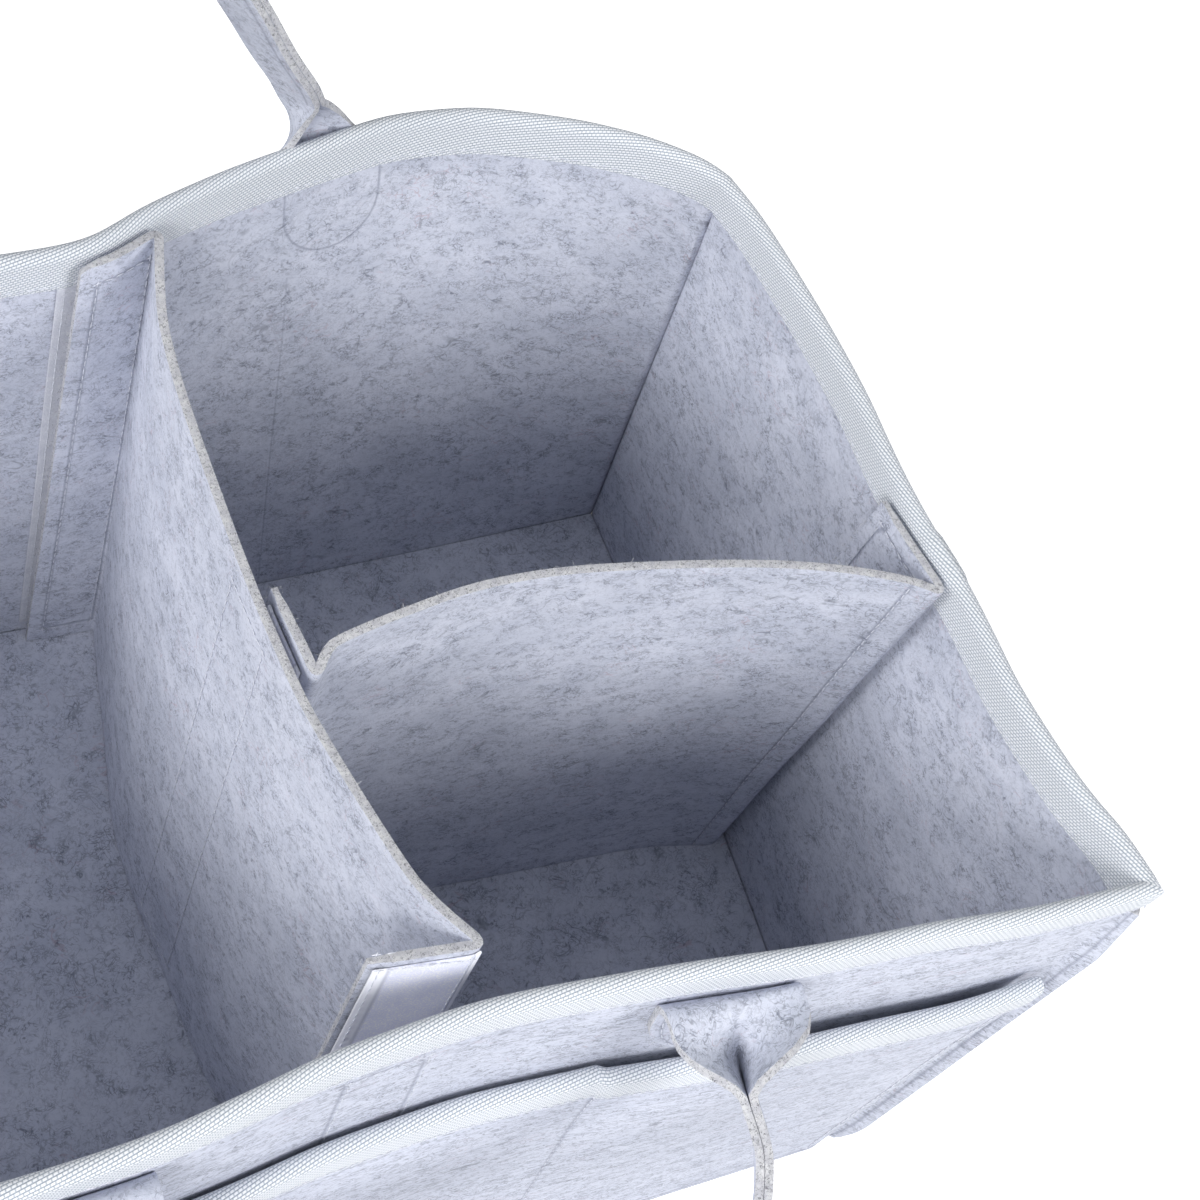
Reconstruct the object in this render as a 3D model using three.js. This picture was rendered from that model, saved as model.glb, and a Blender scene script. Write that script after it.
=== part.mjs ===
import * as THREE from 'three';

// A soft felt caddy with two carrying handles, two outside pockets and two removable
// dividers held by hook-and-loop tape. Millimetres, +Z up, +X along the long side,
// the front long wall at -Y. The origin is on the ground under the middle of the floor.

// Driving sizes of the body, measured on the mid surface of the felt.
const base_length = 341;
const base_depth = 242.6;
const wall_height = 180;
const felt = 3;
const layer_gap = 0.3;
const sewn_gap = 0.45;
const floor_gap = 1.6;
const seam_flange = 8;
const flange_gap = 0.6;

// How far each top corner leans away from its floor corner.
const lean_front_left = new THREE.Vector2(-22.5, 9.8);
const lean_front_right = new THREE.Vector2(34.5, 8.3);
const lean_back_right = new THREE.Vector2(3.7, 11.2);
const lean_back_left = new THREE.Vector2(-1.5, 3.7);

// How far the middle of each edge bows out of the straight line between its corners.
const front_rim_dip = 15.3;
const back_rim_bow = 39;
const end_rim_dip = 5.5;
const back_base_dip = 4;
const end_base_bow = 3;

// Edge shapes as shares of the way along the edge and of the bow above.
const straight_shares = [[0, 0], [1, 0]];
const arch_shares = [[0, 0], [0.25, 0.75], [0.5, 1], [0.75, 0.75], [1, 0]];
const front_rim_shares = [
  [0, 0], [0.16, 0.23], [0.28, 0.3], [0.34, 0.4], [0.4, 0.65], [0.44, 0.84], [0.52, 1],
  [0.565, 0.98], [0.61, 0.88], [0.67, 0.73], [0.76, 0.44], [0.84, 0.29], [0.91, 0.09], [1, 0],
];
const right_rim_shares = [
  [0, 0], [0.065, 0.18], [0.107, 0.58], [0.16, 0.87], [0.257, 1], [0.325, 0.73], [0.4, 0.47],
  [0.48, 0.49], [0.54, 0.36], [0.595, 0.1], [0.66, -0.27], [0.75, -0.5], [0.85, -0.53],
  [0.933, -0.42], [1, 0],
];
const back_rim_shares = [
  [0, 0], [0.012, 0.17], [0.035, 0.34], [0.061, 0.5], [0.093, 0.646], [0.125, 0.767],
  [0.188, 0.946], [0.223, 0.99], [0.272, 1], [0.31, 0.945], [0.39, 0.78], [0.44, 0.66],
  [0.5, 0.48], [0.529, 0.36], [0.555, 0.26], [0.59, 0.22], [0.656, 0.21], [0.763, 0.17],
  [0.85, 0.12], [0.936, 0.06], [1, 0],
];

// Binding tape folded over the rim and over the pocket edges.
const tape = 0.9;
const rim_tape_inside = 12;
const rim_tape_outside = 9;
const pocket_tape_drop = 10;
const tape_shoulder = 0.8;
const tape_bend = 0.1;

// Outside pockets, open a little at the top.
const pocket_drop = 43;
const pocket_height = wall_height - pocket_drop;
const pocket_opening = 6;
const pocket_bays = 3;
const pocket_end_inset = 9;

// Carrying handles: a felt strap folded lengthwise, its ends opened flat into flaps.
const strap_half_width = 18;
const strap_crease_half_width = 1.85;
const handle_clear_of_rim = 4.7;
const handle_fold_gap = 2;
const handle_loop_height = 90;
const handle_flat_length = 12;
const handle_folding_length = 24;
const front_handle_center = 0;
const front_handle_half_span = 79;
const back_handle_center = -10;
const back_handle_half_span = 68;
const front_handle_rest = THREE.MathUtils.degToRad(118);
const back_handle_rest = THREE.MathUtils.degToRad(20);
const front_handle_shares = [
  [1, 0], [1, 0.2], [1.02, 0.42], [0.94, 0.66], [0.72, 0.86], [0.38, 0.97], [0, 1],
];
const back_handle_shares = [
  [1, 0], [0.94, 0.12], [0.8, 0.29], [0.7, 0.44], [0.6, 0.61], [0.48, 0.78], [0.28, 0.94], [0, 1],
];

// Tongues: the strap ends sewn to the outside of the long walls, straight sides and a round end.
const tongue_half_width = 19;
const tongue_below_rim_tape = 4;
const tongue_above_pocket = 2;
const tongue_top = wall_height - rim_tape_outside - tongue_below_rim_tape;
const tongue_height = tongue_top - pocket_height - tongue_above_pocket;
const handle_hinge_height = tongue_top + felt;

// Hook-and-loop tape.
const strip = 0.8;
const strip_width = 25;
const strip_end_inset = 5;
const back_loop_centers = { low: -31.7, high: -16.6 };
const front_loop_centers = { low: -20, high: -2.5 };
const end_loop_centers = { low: 0.5, high: 0.5 };
const cross_loop_centers = { low: 8.5, high: 8.5 };
const tab_edge_width = 3.5;
const loop_to_hook_gap = 0.5;

// Cross divider: a felt sheet from the back wall to the front wall with a tab at each end.
const divider_top = 179;
const divider_foot_gap = 0.3;
const cross_fold_floor_x = -18.9;
const cross_fold_top_x = 0.6;
const cross_tab_width = 24;
const fold_cut = 2.5;
const cross_front_floor = new THREE.Vector2(-3, -106);
const cross_front_top = new THREE.Vector2(25.2, -81.2);
const cross_sag = 17;
const cross_floor_shares = [
  [0, 0], [0.07, 0.21], [0.155, 0.44], [0.274, 0.78], [0.346, 0.95], [0.45, 1], [0.557, 0.94],
  [0.7, 0.88], [0.754, 0.8], [0.88, 0.46], [1, 0],
];
const cross_top_shares = [
  [0, 0], [0.088, 0.4], [0.153, 0.62], [0.264, 0.8], [0.466, 0.965], [0.592, 1], [0.697, 0.95],
  [0.87, 0.64], [0.934, 0.42], [1, 0],
];
const front_tab_width = 28;
const front_tab_turn = 4;

// Small divider: a felt sheet from the cross divider to the right end wall.
const small_left_fold_y = -3;
const small_left_tab_end_y = 25.5;
const small_right_fold_y = -17;
const small_right_tab_end_y = 16;
const small_left_lean = 11;
const small_top_bow = 21.3;
const small_floor_bow = 3.4;
const small_top_shares = [
  [0, 0], [0.024, 0.33], [0.052, 0.47], [0.14, 0.69], [0.26, 0.925], [0.38, 1], [0.51, 0.95],
  [0.7, 0.78], [0.84, 0.55], [0.95, 0.25], [1, 0],
];
const small_floor_shares = [[0, 0], [0.25, 0.4], [0.5, 0.6], [0.68, 0.85], [0.85, 1], [1, 0]];

// How finely the curved sheets are divided.
const long_stations = 24;
const end_stations = 16;
const wall_rows = 6;
const divider_stations = 18;
const divider_rows = 6;
const strap_steps = 38;
const tab_columns = 4;
const strip_columns = 5;
const tongue_columns = 6;
const tongue_round_rows = 5;
const tongue_first_angle = Math.PI / 10;
const stop_share = 0.2;
const search_halvings = 24;

// Colours of the felt and the tapes.
const felt_material = new THREE.MeshStandardMaterial({ color: '#cdd2e2', roughness: 0.95, metalness: 0 });
const tape_material = new THREE.MeshStandardMaterial({ color: '#dbe1e4', roughness: 0.7, metalness: 0 });
const hook_material = new THREE.MeshStandardMaterial({ color: '#e4e5f2', roughness: 0.55, metalness: 0 });

const caddy = new THREE.Group();

function addPiece(name, geometry, material) {
  const mesh = new THREE.Mesh(geometry, material.clone());
  mesh.name = name;
  caddy.add(mesh);
}

// Evenly spaced values, ends included.
function evenHeights(low, high, rows) {
  const heights = [];
  for (let row = 0; row <= rows; row += 1) heights.push(low + ((high - low) * row) / rows);
  return heights;
}

// The right-hand side of a line that is walked from one plan point to the next.
function rightOf(from, to) {
  const step = to.clone().sub(from).normalize();
  return new THREE.Vector2(step.y, -step.x);
}

// Moves point `index` of a plan line to its right by `out`, with mitred corners.
function offsetPoint(line, index, out, closed = false) {
  const count = line.length;
  const here = line[index];
  const before = closed ? line[(index + count - 1) % count] : line[index - 1];
  const after = closed ? line[(index + 1) % count] : line[index + 1];
  if (!before || !after) {
    const side = before ? rightOf(before, here) : rightOf(here, after);
    return here.clone().addScaledVector(side, out);
  }
  const sideBefore = rightOf(before, here);
  const sideAfter = rightOf(here, after);
  const mitre = sideBefore.clone().add(sideAfter);
  return here.clone().addScaledVector(mitre, out / (1 + sideBefore.dot(sideAfter)));
}

// Evenly spaced plan points along a bowed edge, walked from start to end.
function bowedLine(start, end, bow, shares, stations) {
  const side = rightOf(start, end);
  const knots = shares.map(([along, out]) => start.clone().lerp(end, along).addScaledVector(side, bow * out));
  return new THREE.SplineCurve(knots).getSpacedPoints(stations);
}

// A sheet's mid surface is a stack of plan lines at rising heights.
function stackedSurface(heights, lines) {
  return { heights, lines, stations: lines[0].length - 1 };
}

function lineAt(surface, height) {
  const { heights, lines } = surface;
  let level = 0;
  while (level < heights.length - 2 && height > heights[level + 1]) level += 1;
  const rise = (height - heights[level]) / (heights[level + 1] - heights[level]);
  return lines[level].map((point, i) => point.clone().lerp(lines[level + 1][i], rise));
}

// The place on or beside a surface: share of the way along it, height, and distance to its right.
function placeOn(surface, along, height, out) {
  const line = lineAt(surface, height);
  const station = Math.min(Math.floor(along * surface.stations), surface.stations - 1);
  const from = offsetPoint(line, station, out);
  const to = offsetPoint(line, station + 1, out);
  const place = from.lerp(to, along * surface.stations - station);
  return new THREE.Vector3(place.x, place.y, height);
}

// The share of the way along a surface where its plan line reaches a given X or Y.
function alongWhere(surface, axis, value, height, out) {
  const rising = placeOn(surface, 1, height, out)[axis] > placeOn(surface, 0, height, out)[axis];
  let low = 0;
  let high = 1;
  for (let halving = 0; halving < search_halvings; halving += 1) {
    const middle = (low + high) / 2;
    const below = placeOn(surface, middle, height, out)[axis] < value;
    if (below === rising) low = middle;
    else high = middle;
  }
  return (low + high) / 2;
}

// A closed solid from a grid of points on its two faces. Cells that `keep` refuses stay open air.
function sheetSolid(columns, rows, pointAt, keep = () => true) {
  const positions = [];
  const indices = [];
  const numbers = new Map();
  const vertex = (i, j, face) => {
    const key = `${i},${j},${face}`;
    if (!numbers.has(key)) {
      numbers.set(key, positions.length / 3);
      positions.push(...pointAt(i, j, face).toArray());
    }
    return numbers.get(key);
  };
  const quad = (a, b, c, d) => indices.push(a, b, c, a, c, d);
  const kept = (i, j) => i >= 0 && j >= 0 && i < columns && j < rows && keep(i, j);
  for (let i = 0; i < columns; i += 1) {
    for (let j = 0; j < rows; j += 1) {
      if (!kept(i, j)) continue;
      const corners = [[i, j], [i + 1, j], [i + 1, j + 1], [i, j + 1]];
      const neighbours = [[i, j - 1], [i + 1, j], [i, j + 1], [i - 1, j]];
      const [a, b, c, d] = corners.map(([ci, cj]) => vertex(ci, cj, 0));
      quad(...corners.map(([ci, cj]) => vertex(ci, cj, 1)));
      quad(a, d, c, b);
      neighbours.forEach(([ni, nj], side) => {
        if (kept(ni, nj)) return;
        const [ai, aj] = corners[side];
        const [bi, bj] = corners[(side + 1) % corners.length];
        quad(vertex(ai, aj, 1), vertex(ai, aj, 0), vertex(bi, bj, 0), vertex(bi, bj, 1));
      });
    }
  }
  const geometry = new THREE.BufferGeometry();
  geometry.setAttribute('position', new THREE.Float32BufferAttribute(positions, 3));
  geometry.setIndex(indices);
  geometry.computeVertexNormals();
  return geometry;
}

// A closed solid swept through a list of rings of points; `closed` joins the last ring to the first.
function sweptSolid(rings, closed) {
  const size = rings[0].length;
  const positions = rings.flat().flatMap((point) => point.toArray());
  const indices = [];
  const last = closed ? rings.length : rings.length - 1;
  for (let r = 0; r < last; r += 1) {
    for (let k = 0; k < size; k += 1) {
      const next = (k + 1) % size;
      const a = r * size + k;
      const b = r * size + next;
      const c = ((r + 1) % rings.length) * size + next;
      const d = ((r + 1) % rings.length) * size + k;
      indices.push(a, b, c, a, c, d);
    }
  }
  if (!closed) indices.push(...endCap(rings, 0, true), ...endCap(rings, rings.length - 1, false));
  const geometry = new THREE.BufferGeometry();
  geometry.setAttribute('position', new THREE.Float32BufferAttribute(positions, 3));
  geometry.setIndex(indices);
  geometry.computeVertexNormals();
  return geometry;
}

// The end of a swept band: its ring is two runs of points that face each other, capped like a ladder.
function endCap(rings, index, first) {
  const size = rings[index].length;
  const start = index * size;
  const faces = [];
  for (let k = 0; k < size / 2 - 1; k += 1) {
    const a = start + k;
    const b = start + k + 1;
    const c = start + size - 2 - k;
    const d = start + size - 1 - k;
    faces.push(...(first ? [a, c, b, a, d, c] : [a, b, c, a, c, d]));
  }
  return faces;
}

// The four walls as ruled surfaces, walked around the caddy with the outside on the right.
const half_length = base_length / 2;
const half_depth = base_depth / 2;
const base_corners = {
  front_left: new THREE.Vector2(-half_length, -half_depth),
  front_right: new THREE.Vector2(half_length, -half_depth),
  back_right: new THREE.Vector2(half_length, half_depth),
  back_left: new THREE.Vector2(-half_length, half_depth),
};
const rim_corners = {
  front_left: base_corners.front_left.clone().add(lean_front_left),
  front_right: base_corners.front_right.clone().add(lean_front_right),
  back_right: base_corners.back_right.clone().add(lean_back_right),
  back_left: base_corners.back_left.clone().add(lean_back_left),
};

function wallSurface(from, to, base, rim, stations) {
  const low = bowedLine(base_corners[from], base_corners[to], base.bow, base.shares, stations);
  const high = bowedLine(rim_corners[from], rim_corners[to], rim.bow, rim.shares, stations);
  return stackedSurface([0, wall_height], [low, high]);
}

const mirrored = (shares) => shares.map(([along, out]) => [1 - along, out]).reverse();
const front = wallSurface(
  'front_left', 'front_right',
  { bow: 0, shares: straight_shares }, { bow: -front_rim_dip, shares: front_rim_shares }, long_stations,
);
const right = wallSurface(
  'front_right', 'back_right',
  { bow: end_base_bow, shares: arch_shares }, { bow: -end_rim_dip, shares: right_rim_shares }, end_stations,
);
const back = wallSurface(
  'back_right', 'back_left',
  { bow: -back_base_dip, shares: arch_shares }, { bow: back_rim_bow, shares: back_rim_shares }, long_stations,
);
const left = wallSurface(
  'back_left', 'front_left',
  { bow: end_base_bow, shares: arch_shares },
  { bow: -end_rim_dip, shares: mirrored(right_rim_shares) }, end_stations,
);

// Floor panel, lying inside the feet of the walls.
function floorPanel() {
  const ring = [front, right, back, left].flatMap((wall) => lineAt(wall, felt).slice(0, -1));
  const outline = ring.map((_, i) => offsetPoint(ring, i, -(felt / 2 + floor_gap), true));
  return new THREE.ExtrudeGeometry(new THREE.Shape(outline), { depth: felt, bevelEnabled: false });
}
addPiece('floor_panel', floorPanel(), felt_material);

// A wall's end turns outward along the corner's diagonal into a seam flange.
function flangeBend(corner, inward, diagonal) {
  const across = inward.clone().addScaledVector(diagonal, -inward.dot(diagonal));
  const slide = (felt / 2 + flange_gap / 2) / across.length();
  return corner.clone().addScaledVector(inward, slide);
}

function wallLine(wall, before, after, height) {
  const line = lineAt(wall, height);
  const last = line.length - 1;
  const lineBefore = lineAt(before, height);
  const lineAfter = lineAt(after, height);
  const sideFirst = rightOf(line[0], line[1]);
  const sideLast = rightOf(line[last - 1], line[last]);
  const startDiagonal = rightOf(lineBefore[lineBefore.length - 2], line[0]).add(sideFirst).normalize();
  const endDiagonal = sideLast.clone().add(rightOf(line[last], lineAfter[1])).normalize();
  const startInward = line[1].clone().sub(line[0]).normalize();
  const endInward = line[last - 1].clone().sub(line[last]).normalize();
  const startBend = flangeBend(line[0], startInward, startDiagonal);
  const endBend = flangeBend(line[last], endInward, endDiagonal);
  return [
    startBend.clone().addScaledVector(startDiagonal, seam_flange), startBend, ...line.slice(1, -1), endBend,
    endBend.clone().addScaledVector(endDiagonal, seam_flange),
  ];
}

// Wall panels. The flanges stop under the rim binding.
const flange_top = wall_height - rim_tape_outside - layer_gap;
const wall_row_heights = [...evenHeights(0, flange_top, wall_rows - 1), wall_height];
function wallPanel(wall, before, after) {
  const heights = wall_row_heights;
  const lines = heights.map((height) => wallLine(wall, before, after, height));
  const columns = lines[0].length - 1;
  const pointAt = (i, j, face) => {
    const place = offsetPoint(lines[j], i, (face - 1 / 2) * felt);
    return new THREE.Vector3(place.x, place.y, heights[j]);
  };
  const keep = (i, j) => j < wall_rows - 1 || (i > 0 && i < columns - 1);
  return sheetSolid(columns, wall_rows, pointAt, keep);
}
addPiece('front_wall', wallPanel(front, left, right), felt_material);
addPiece('right_end_wall', wallPanel(right, front, back), felt_material);
addPiece('back_wall', wallPanel(back, right, left), felt_material);
addPiece('left_end_wall', wallPanel(left, back, front), felt_material);

// Section of a tape folded over an edge at height `top`: [distance out, height] pairs,
// six along its outside from the inner lip to the outer lip and six back along its inside.
function tapeSection(top, insideDrop, outsideDrop) {
  const inner = felt / 2 + layer_gap;
  const outer = inner + tape;
  const ceiling = top + layer_gap;
  return [
    [-outer, top - insideDrop], [-outer, ceiling + tape - tape_shoulder],
    [tape_shoulder - outer, ceiling + tape], [outer - tape_shoulder, ceiling + tape],
    [outer, ceiling + tape - tape_shoulder], [outer, top - outsideDrop],
    [inner, top - outsideDrop], [inner, ceiling - tape_bend], [inner - tape_bend, ceiling],
    [tape_bend - inner, ceiling], [-inner, ceiling - tape_bend], [-inner, top - insideDrop],
  ];
}

// Rim binding, one tape all around the top edge with mitred corners.
function rimBinding() {
  const section = tapeSection(wall_height, rim_tape_inside, rim_tape_outside);
  const walls = [front, right, back, left];
  const ringAt = (height) => walls.flatMap((wall) => lineAt(wall, height).slice(0, -1));
  const stations = ringAt(wall_height).length;
  const rings = [];
  for (let station = 0; station < stations; station += 1) {
    rings.push(section.map(([out, height]) => {
      const place = offsetPoint(ringAt(height), station, out, true);
      return new THREE.Vector3(place.x, place.y, height);
    }));
  }
  return sweptSolid(rings, true);
}
addPiece('rim_binding', rimBinding(), tape_material);

// Shares along a surface from one place to another, stopping at every station between.
function stops(surface, from, to) {
  const between = [];
  const clear = stop_share / surface.stations;
  for (let i = 1; i < surface.stations; i += 1) {
    const along = i / surface.stations;
    if (along > from + clear && along < to - clear) between.push(along);
  }
  return [from, ...between, to];
}

// Distance of a pocket's mid surface from the wall's: close at the foot, the ends and the seams.
const pocket_tape_foot = pocket_height - pocket_tape_drop;
function pocketOut(along, height) {
  const billow = Math.sqrt(Math.abs(Math.sin(pocket_bays * Math.PI * along)));
  const rise = Math.min(1, height / pocket_tape_foot) ** 2;
  return felt + sewn_gap + rise * (tape + layer_gap + pocket_opening * billow);
}

const pocket_inset_share = pocket_end_inset / base_length;
function pocketPanel(wall) {
  const alongs = stops(wall, pocket_inset_share, 1 - pocket_inset_share);
  const lowHeights = wall_row_heights.filter((height) => height < pocket_tape_foot);
  const heights = [...lowHeights, pocket_tape_foot, pocket_height];
  const pointAt = (i, j, face) => {
    const out = pocketOut(alongs[i], heights[j]) + (face - 1 / 2) * felt;
    return placeOn(wall, alongs[i], heights[j], out);
  };
  return sheetSolid(alongs.length - 1, heights.length - 1, pointAt);
}

function pocketBinding(wall) {
  const section = tapeSection(pocket_height, pocket_tape_drop, pocket_tape_drop);
  const rings = stops(wall, pocket_inset_share, 1 - pocket_inset_share).map((along) => {
    const center = pocketOut(along, pocket_height);
    return section.map(([out, height]) => placeOn(wall, along, height, center + out));
  });
  return sweptSolid(rings, false);
}
addPiece('front_pocket_panel', pocketPanel(front), felt_material);
addPiece('back_pocket_panel', pocketPanel(back), felt_material);
addPiece('front_pocket_binding', pocketBinding(front), tape_material);
addPiece('back_pocket_binding', pocketBinding(back), tape_material);

// Handles. Each lies in a plane that turns about a line through the folds of its two feet.
function hingePoint(wall, x) {
  const height = handle_hinge_height;
  const out = felt / 2 + layer_gap + tape + handle_clear_of_rim;
  return placeOn(wall, alongWhere(wall, 'x', x, height, out), height, out);
}

// The strap's section: flat at the foot and folded lengthwise further out, raw edges together.
function strapSection(fold) {
  const arm = strap_half_width - strap_crease_half_width;
  const lift = (fold * Math.PI) / 2;
  const tip = new THREE.Vector2(strap_crease_half_width + arm * Math.cos(lift), arm * Math.sin(lift));
  const crease = new THREE.Vector2(strap_crease_half_width, 0);
  const across = [new THREE.Vector2(-tip.x, tip.y), new THREE.Vector2(-crease.x, 0), crease, tip];
  const under = across.map((_, i) => offsetPoint(across, i, felt / 2));
  const over = across.map((_, i) => offsetPoint(across, i, -felt / 2)).reverse();
  return [...under, ...over];
}

function handle(wall, center, halfSpan, shares, rest) {
  const outward = wall === front ? -1 : 1;
  const low = hingePoint(wall, center - halfSpan);
  const high = hingePoint(wall, center + halfSpan);
  const axis = high.clone().sub(low).normalize();
  const middle = low.clone().lerp(high, 1 / 2);
  const half = low.distanceTo(high) / 2;
  const turn = new THREE.Quaternion().setFromAxisAngle(axis, -outward * rest);
  const upright = new THREE.Vector3(0, 0, 1).applyQuaternion(turn);
  const inward = new THREE.Vector3().crossVectors(upright, axis).multiplyScalar(-outward).normalize();
  const rise = handle_loop_height - handle_fold_gap;
  const side = shares.map(([across, up]) => new THREE.Vector2(across * half, handle_fold_gap + up * rise));
  const otherSide = side.slice(0, -1).reverse().map((point) => new THREE.Vector2(-point.x, point.y));
  const knots = [...side, ...otherSide];
  const path = new THREE.SplineCurve(knots);
  const length = path.getLength();
  const rings = [];
  for (let step = 0; step <= strap_steps; step += 1) {
    const share = step / strap_steps;
    const place = path.getPointAt(share);
    const ahead = path.getTangentAt(share);
    const fromFoot = Math.min(share, 1 - share) * length;
    const fold = THREE.MathUtils.smoothstep(
      fromFoot, handle_flat_length, handle_flat_length + handle_folding_length,
    );
    const across = axis.clone().multiplyScalar(ahead.y).addScaledVector(upright, -ahead.x);
    const origin = middle.clone().addScaledVector(axis, place.x).addScaledVector(upright, place.y);
    rings.push(strapSection(fold).map((point) => (
      origin.clone().addScaledVector(across, point.x).addScaledVector(inward, point.y)
    )));
  }
  return sweptSolid(outward < 0 ? rings : rings.reverse(), false);
}
const front_feet = [
  front_handle_center - front_handle_half_span, front_handle_center + front_handle_half_span,
];
const back_feet = [
  back_handle_center - back_handle_half_span, back_handle_center + back_handle_half_span,
];
addPiece('front_handle', handle(
  front, front_handle_center, front_handle_half_span, front_handle_shares, front_handle_rest,
), felt_material);
addPiece('back_handle', handle(
  back, back_handle_center, back_handle_half_span, back_handle_shares, back_handle_rest,
), felt_material);

// A flat piece sewn on a surface: `spanAt` gives its first and last place along it at a height.
function sewnSheet(surface, columns, heights, outs, spanAt) {
  const pointAt = (i, j, face) => {
    const [from, to] = spanAt(heights[j]);
    const along = from + ((to - from) * i) / columns;
    return placeOn(surface, along, heights[j], face === 1 ? outs.outer : outs.inner);
  };
  return sheetSolid(columns, heights.length - 1, pointAt);
}

// Handle tongues.
function tongue(wall, x) {
  const roundCenter = tongue_top - tongue_height + tongue_half_width;
  const angles = evenHeights(tongue_first_angle, Math.PI / 2, tongue_round_rows);
  const heights = [...angles.map((angle) => roundCenter - tongue_half_width * Math.cos(angle)), tongue_top];
  const outs = { inner: felt / 2 + layer_gap, outer: felt / 2 + layer_gap + felt };
  const spanAt = (height) => {
    const drop = Math.max(0, roundCenter - height) / tongue_half_width;
    const half = tongue_half_width * Math.sqrt(1 - drop * drop);
    const ends = [x - half, x + half].map((edge) => alongWhere(wall, 'x', edge, height, outs.inner));
    return [Math.min(...ends), Math.max(...ends)];
  };
  return sewnSheet(wall, tongue_columns, heights, outs, spanAt);
}
addPiece('front_left_handle_tongue', tongue(front, front_feet[0]), felt_material);
addPiece('front_right_handle_tongue', tongue(front, front_feet[1]), felt_material);
addPiece('back_left_handle_tongue', tongue(back, back_feet[0]), felt_material);
addPiece('back_right_handle_tongue', tongue(back, back_feet[1]), felt_material);

// Mid surface of the cross divider: back tab, bent panel, front tab, walked from the back.
const divider_foot = felt + divider_foot_gap;
const strip_reach = felt / 2 + sewn_gap + strip;
const tab_out = -(strip_reach + loop_to_hook_gap + strip_reach);

function roundFold(line, index) {
  const corner = line[index];
  const before = line[index - 1].clone().sub(corner).setLength(fold_cut).add(corner);
  const after = line[index + 1].clone().sub(corner).setLength(fold_cut).add(corner);
  return [before, after];
}

function foldedLine(firstTab, panel, lastTab) {
  const first = roundFold([firstTab[firstTab.length - 2], panel[0], panel[1]], 1);
  const end = panel.length - 1;
  const last = roundFold([panel[end - 1], panel[end], lastTab[1]], 1);
  return [...firstTab.slice(0, -1), ...first, ...panel.slice(1, -1), ...last, ...lastTab.slice(1)];
}

function tabOn(surface, axis, from, to, height, out) {
  const points = [];
  for (let step = 0; step <= tab_columns; step += 1) {
    const value = from + ((to - from) * step) / tab_columns;
    const place = placeOn(surface, alongWhere(surface, axis, value, height, out), height, out);
    points.push(new THREE.Vector2(place.x, place.y));
  }
  return points;
}

function freeTab(fold, width, turn) {
  const points = [];
  for (let step = 0; step <= tab_columns; step += 1) {
    const share = step / tab_columns;
    points.push(new THREE.Vector2(fold.x - width * share, fold.y + turn * share));
  }
  return points;
}

// A divider's bent panel between two folds, changing from its floor shape to its top shape.
function panelLine(from, to, share, floor, top) {
  const low = bowedLine(from, to, floor.bow, floor.shares, divider_stations);
  const high = bowedLine(from, to, top.bow, top.shares, divider_stations);
  return low.map((point, i) => point.lerp(high[i], share));
}

const divider_heights = evenHeights(divider_foot, divider_top, divider_rows);
function dividerSurface(lineOf) {
  const lines = divider_heights.map((height, row) => lineOf(height, row / divider_rows));
  return stackedSurface(divider_heights, lines);
}

const cross = dividerSurface((height, share) => {
  const foldX = THREE.MathUtils.lerp(cross_fold_floor_x, cross_fold_top_x, share);
  const frontFold = cross_front_floor.clone().lerp(cross_front_top, share);
  const firstTab = tabOn(back, 'x', foldX - cross_tab_width, foldX, height, tab_out);
  const panel = panelLine(
    firstTab[tab_columns], frontFold, share,
    { bow: cross_sag, shares: cross_floor_shares }, { bow: cross_sag, shares: cross_top_shares },
  );
  return foldedLine(firstTab, panel, freeTab(frontFold, front_tab_width, front_tab_turn));
});

function dividerSheet(surface) {
  const pointAt = (i, j, face) => {
    const place = offsetPoint(surface.lines[j], i, (face - 1 / 2) * felt);
    return new THREE.Vector3(place.x, place.y, surface.heights[j]);
  };
  return sheetSolid(surface.stations, divider_rows, pointAt);
}
addPiece('cross_divider', dividerSheet(cross), felt_material);

// Mid surface of the small divider: left tab beside the cross divider, panel, tab on the end wall.
const small_left_top = tabOn(
  cross, 'y', small_left_tab_end_y, small_left_fold_y, divider_top, tab_out,
);
const small_left_floor = small_left_top.map((point) => new THREE.Vector2(point.x - small_left_lean, point.y));
const small = dividerSurface((height, share) => {
  const leftTab = small_left_floor.map((point, i) => point.clone().lerp(small_left_top[i], share));
  const rightTab = tabOn(right, 'y', small_right_fold_y, small_right_tab_end_y, height, tab_out);
  const panel = panelLine(
    leftTab[tab_columns], rightTab[0], share,
    { bow: -small_floor_bow, shares: small_floor_shares }, { bow: -small_top_bow, shares: small_top_shares },
  );
  return foldedLine(leftTab, panel, rightTab);
});
addPiece('small_divider', dividerSheet(small), felt_material);

// Loop strips sewn on the walls and on the cross divider, `side` telling which face.
function loopStrip(surface, rowHeights, axis, centers, top, side) {
  const foot = felt + strip_end_inset;
  const heights = [foot, ...rowHeights.filter((height) => height > foot && height < top - felt), top];
  const near = side * (felt / 2 + sewn_gap);
  const far = side * strip_reach;
  const outs = { inner: Math.min(near, far), outer: Math.max(near, far) };
  const spanAt = (height) => {
    const share = (height - heights[0]) / (top - heights[0]);
    const center = centers.low + (centers.high - centers.low) * share;
    const edges = [center - strip_width / 2, center + strip_width / 2];
    const ends = edges.map((edge) => alongWhere(surface, axis, edge, height, far));
    return [Math.min(...ends), Math.max(...ends)];
  };
  return sewnSheet(surface, strip_columns, heights, outs, spanAt);
}
const wall_strip_top = wall_height - rim_tape_inside - layer_gap;
const divider_strip_top = divider_top - strip_end_inset;
addPiece('back_wall_loop_strip', loopStrip(
  back, wall_row_heights, 'x', back_loop_centers, wall_strip_top, -1,
), tape_material);
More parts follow.
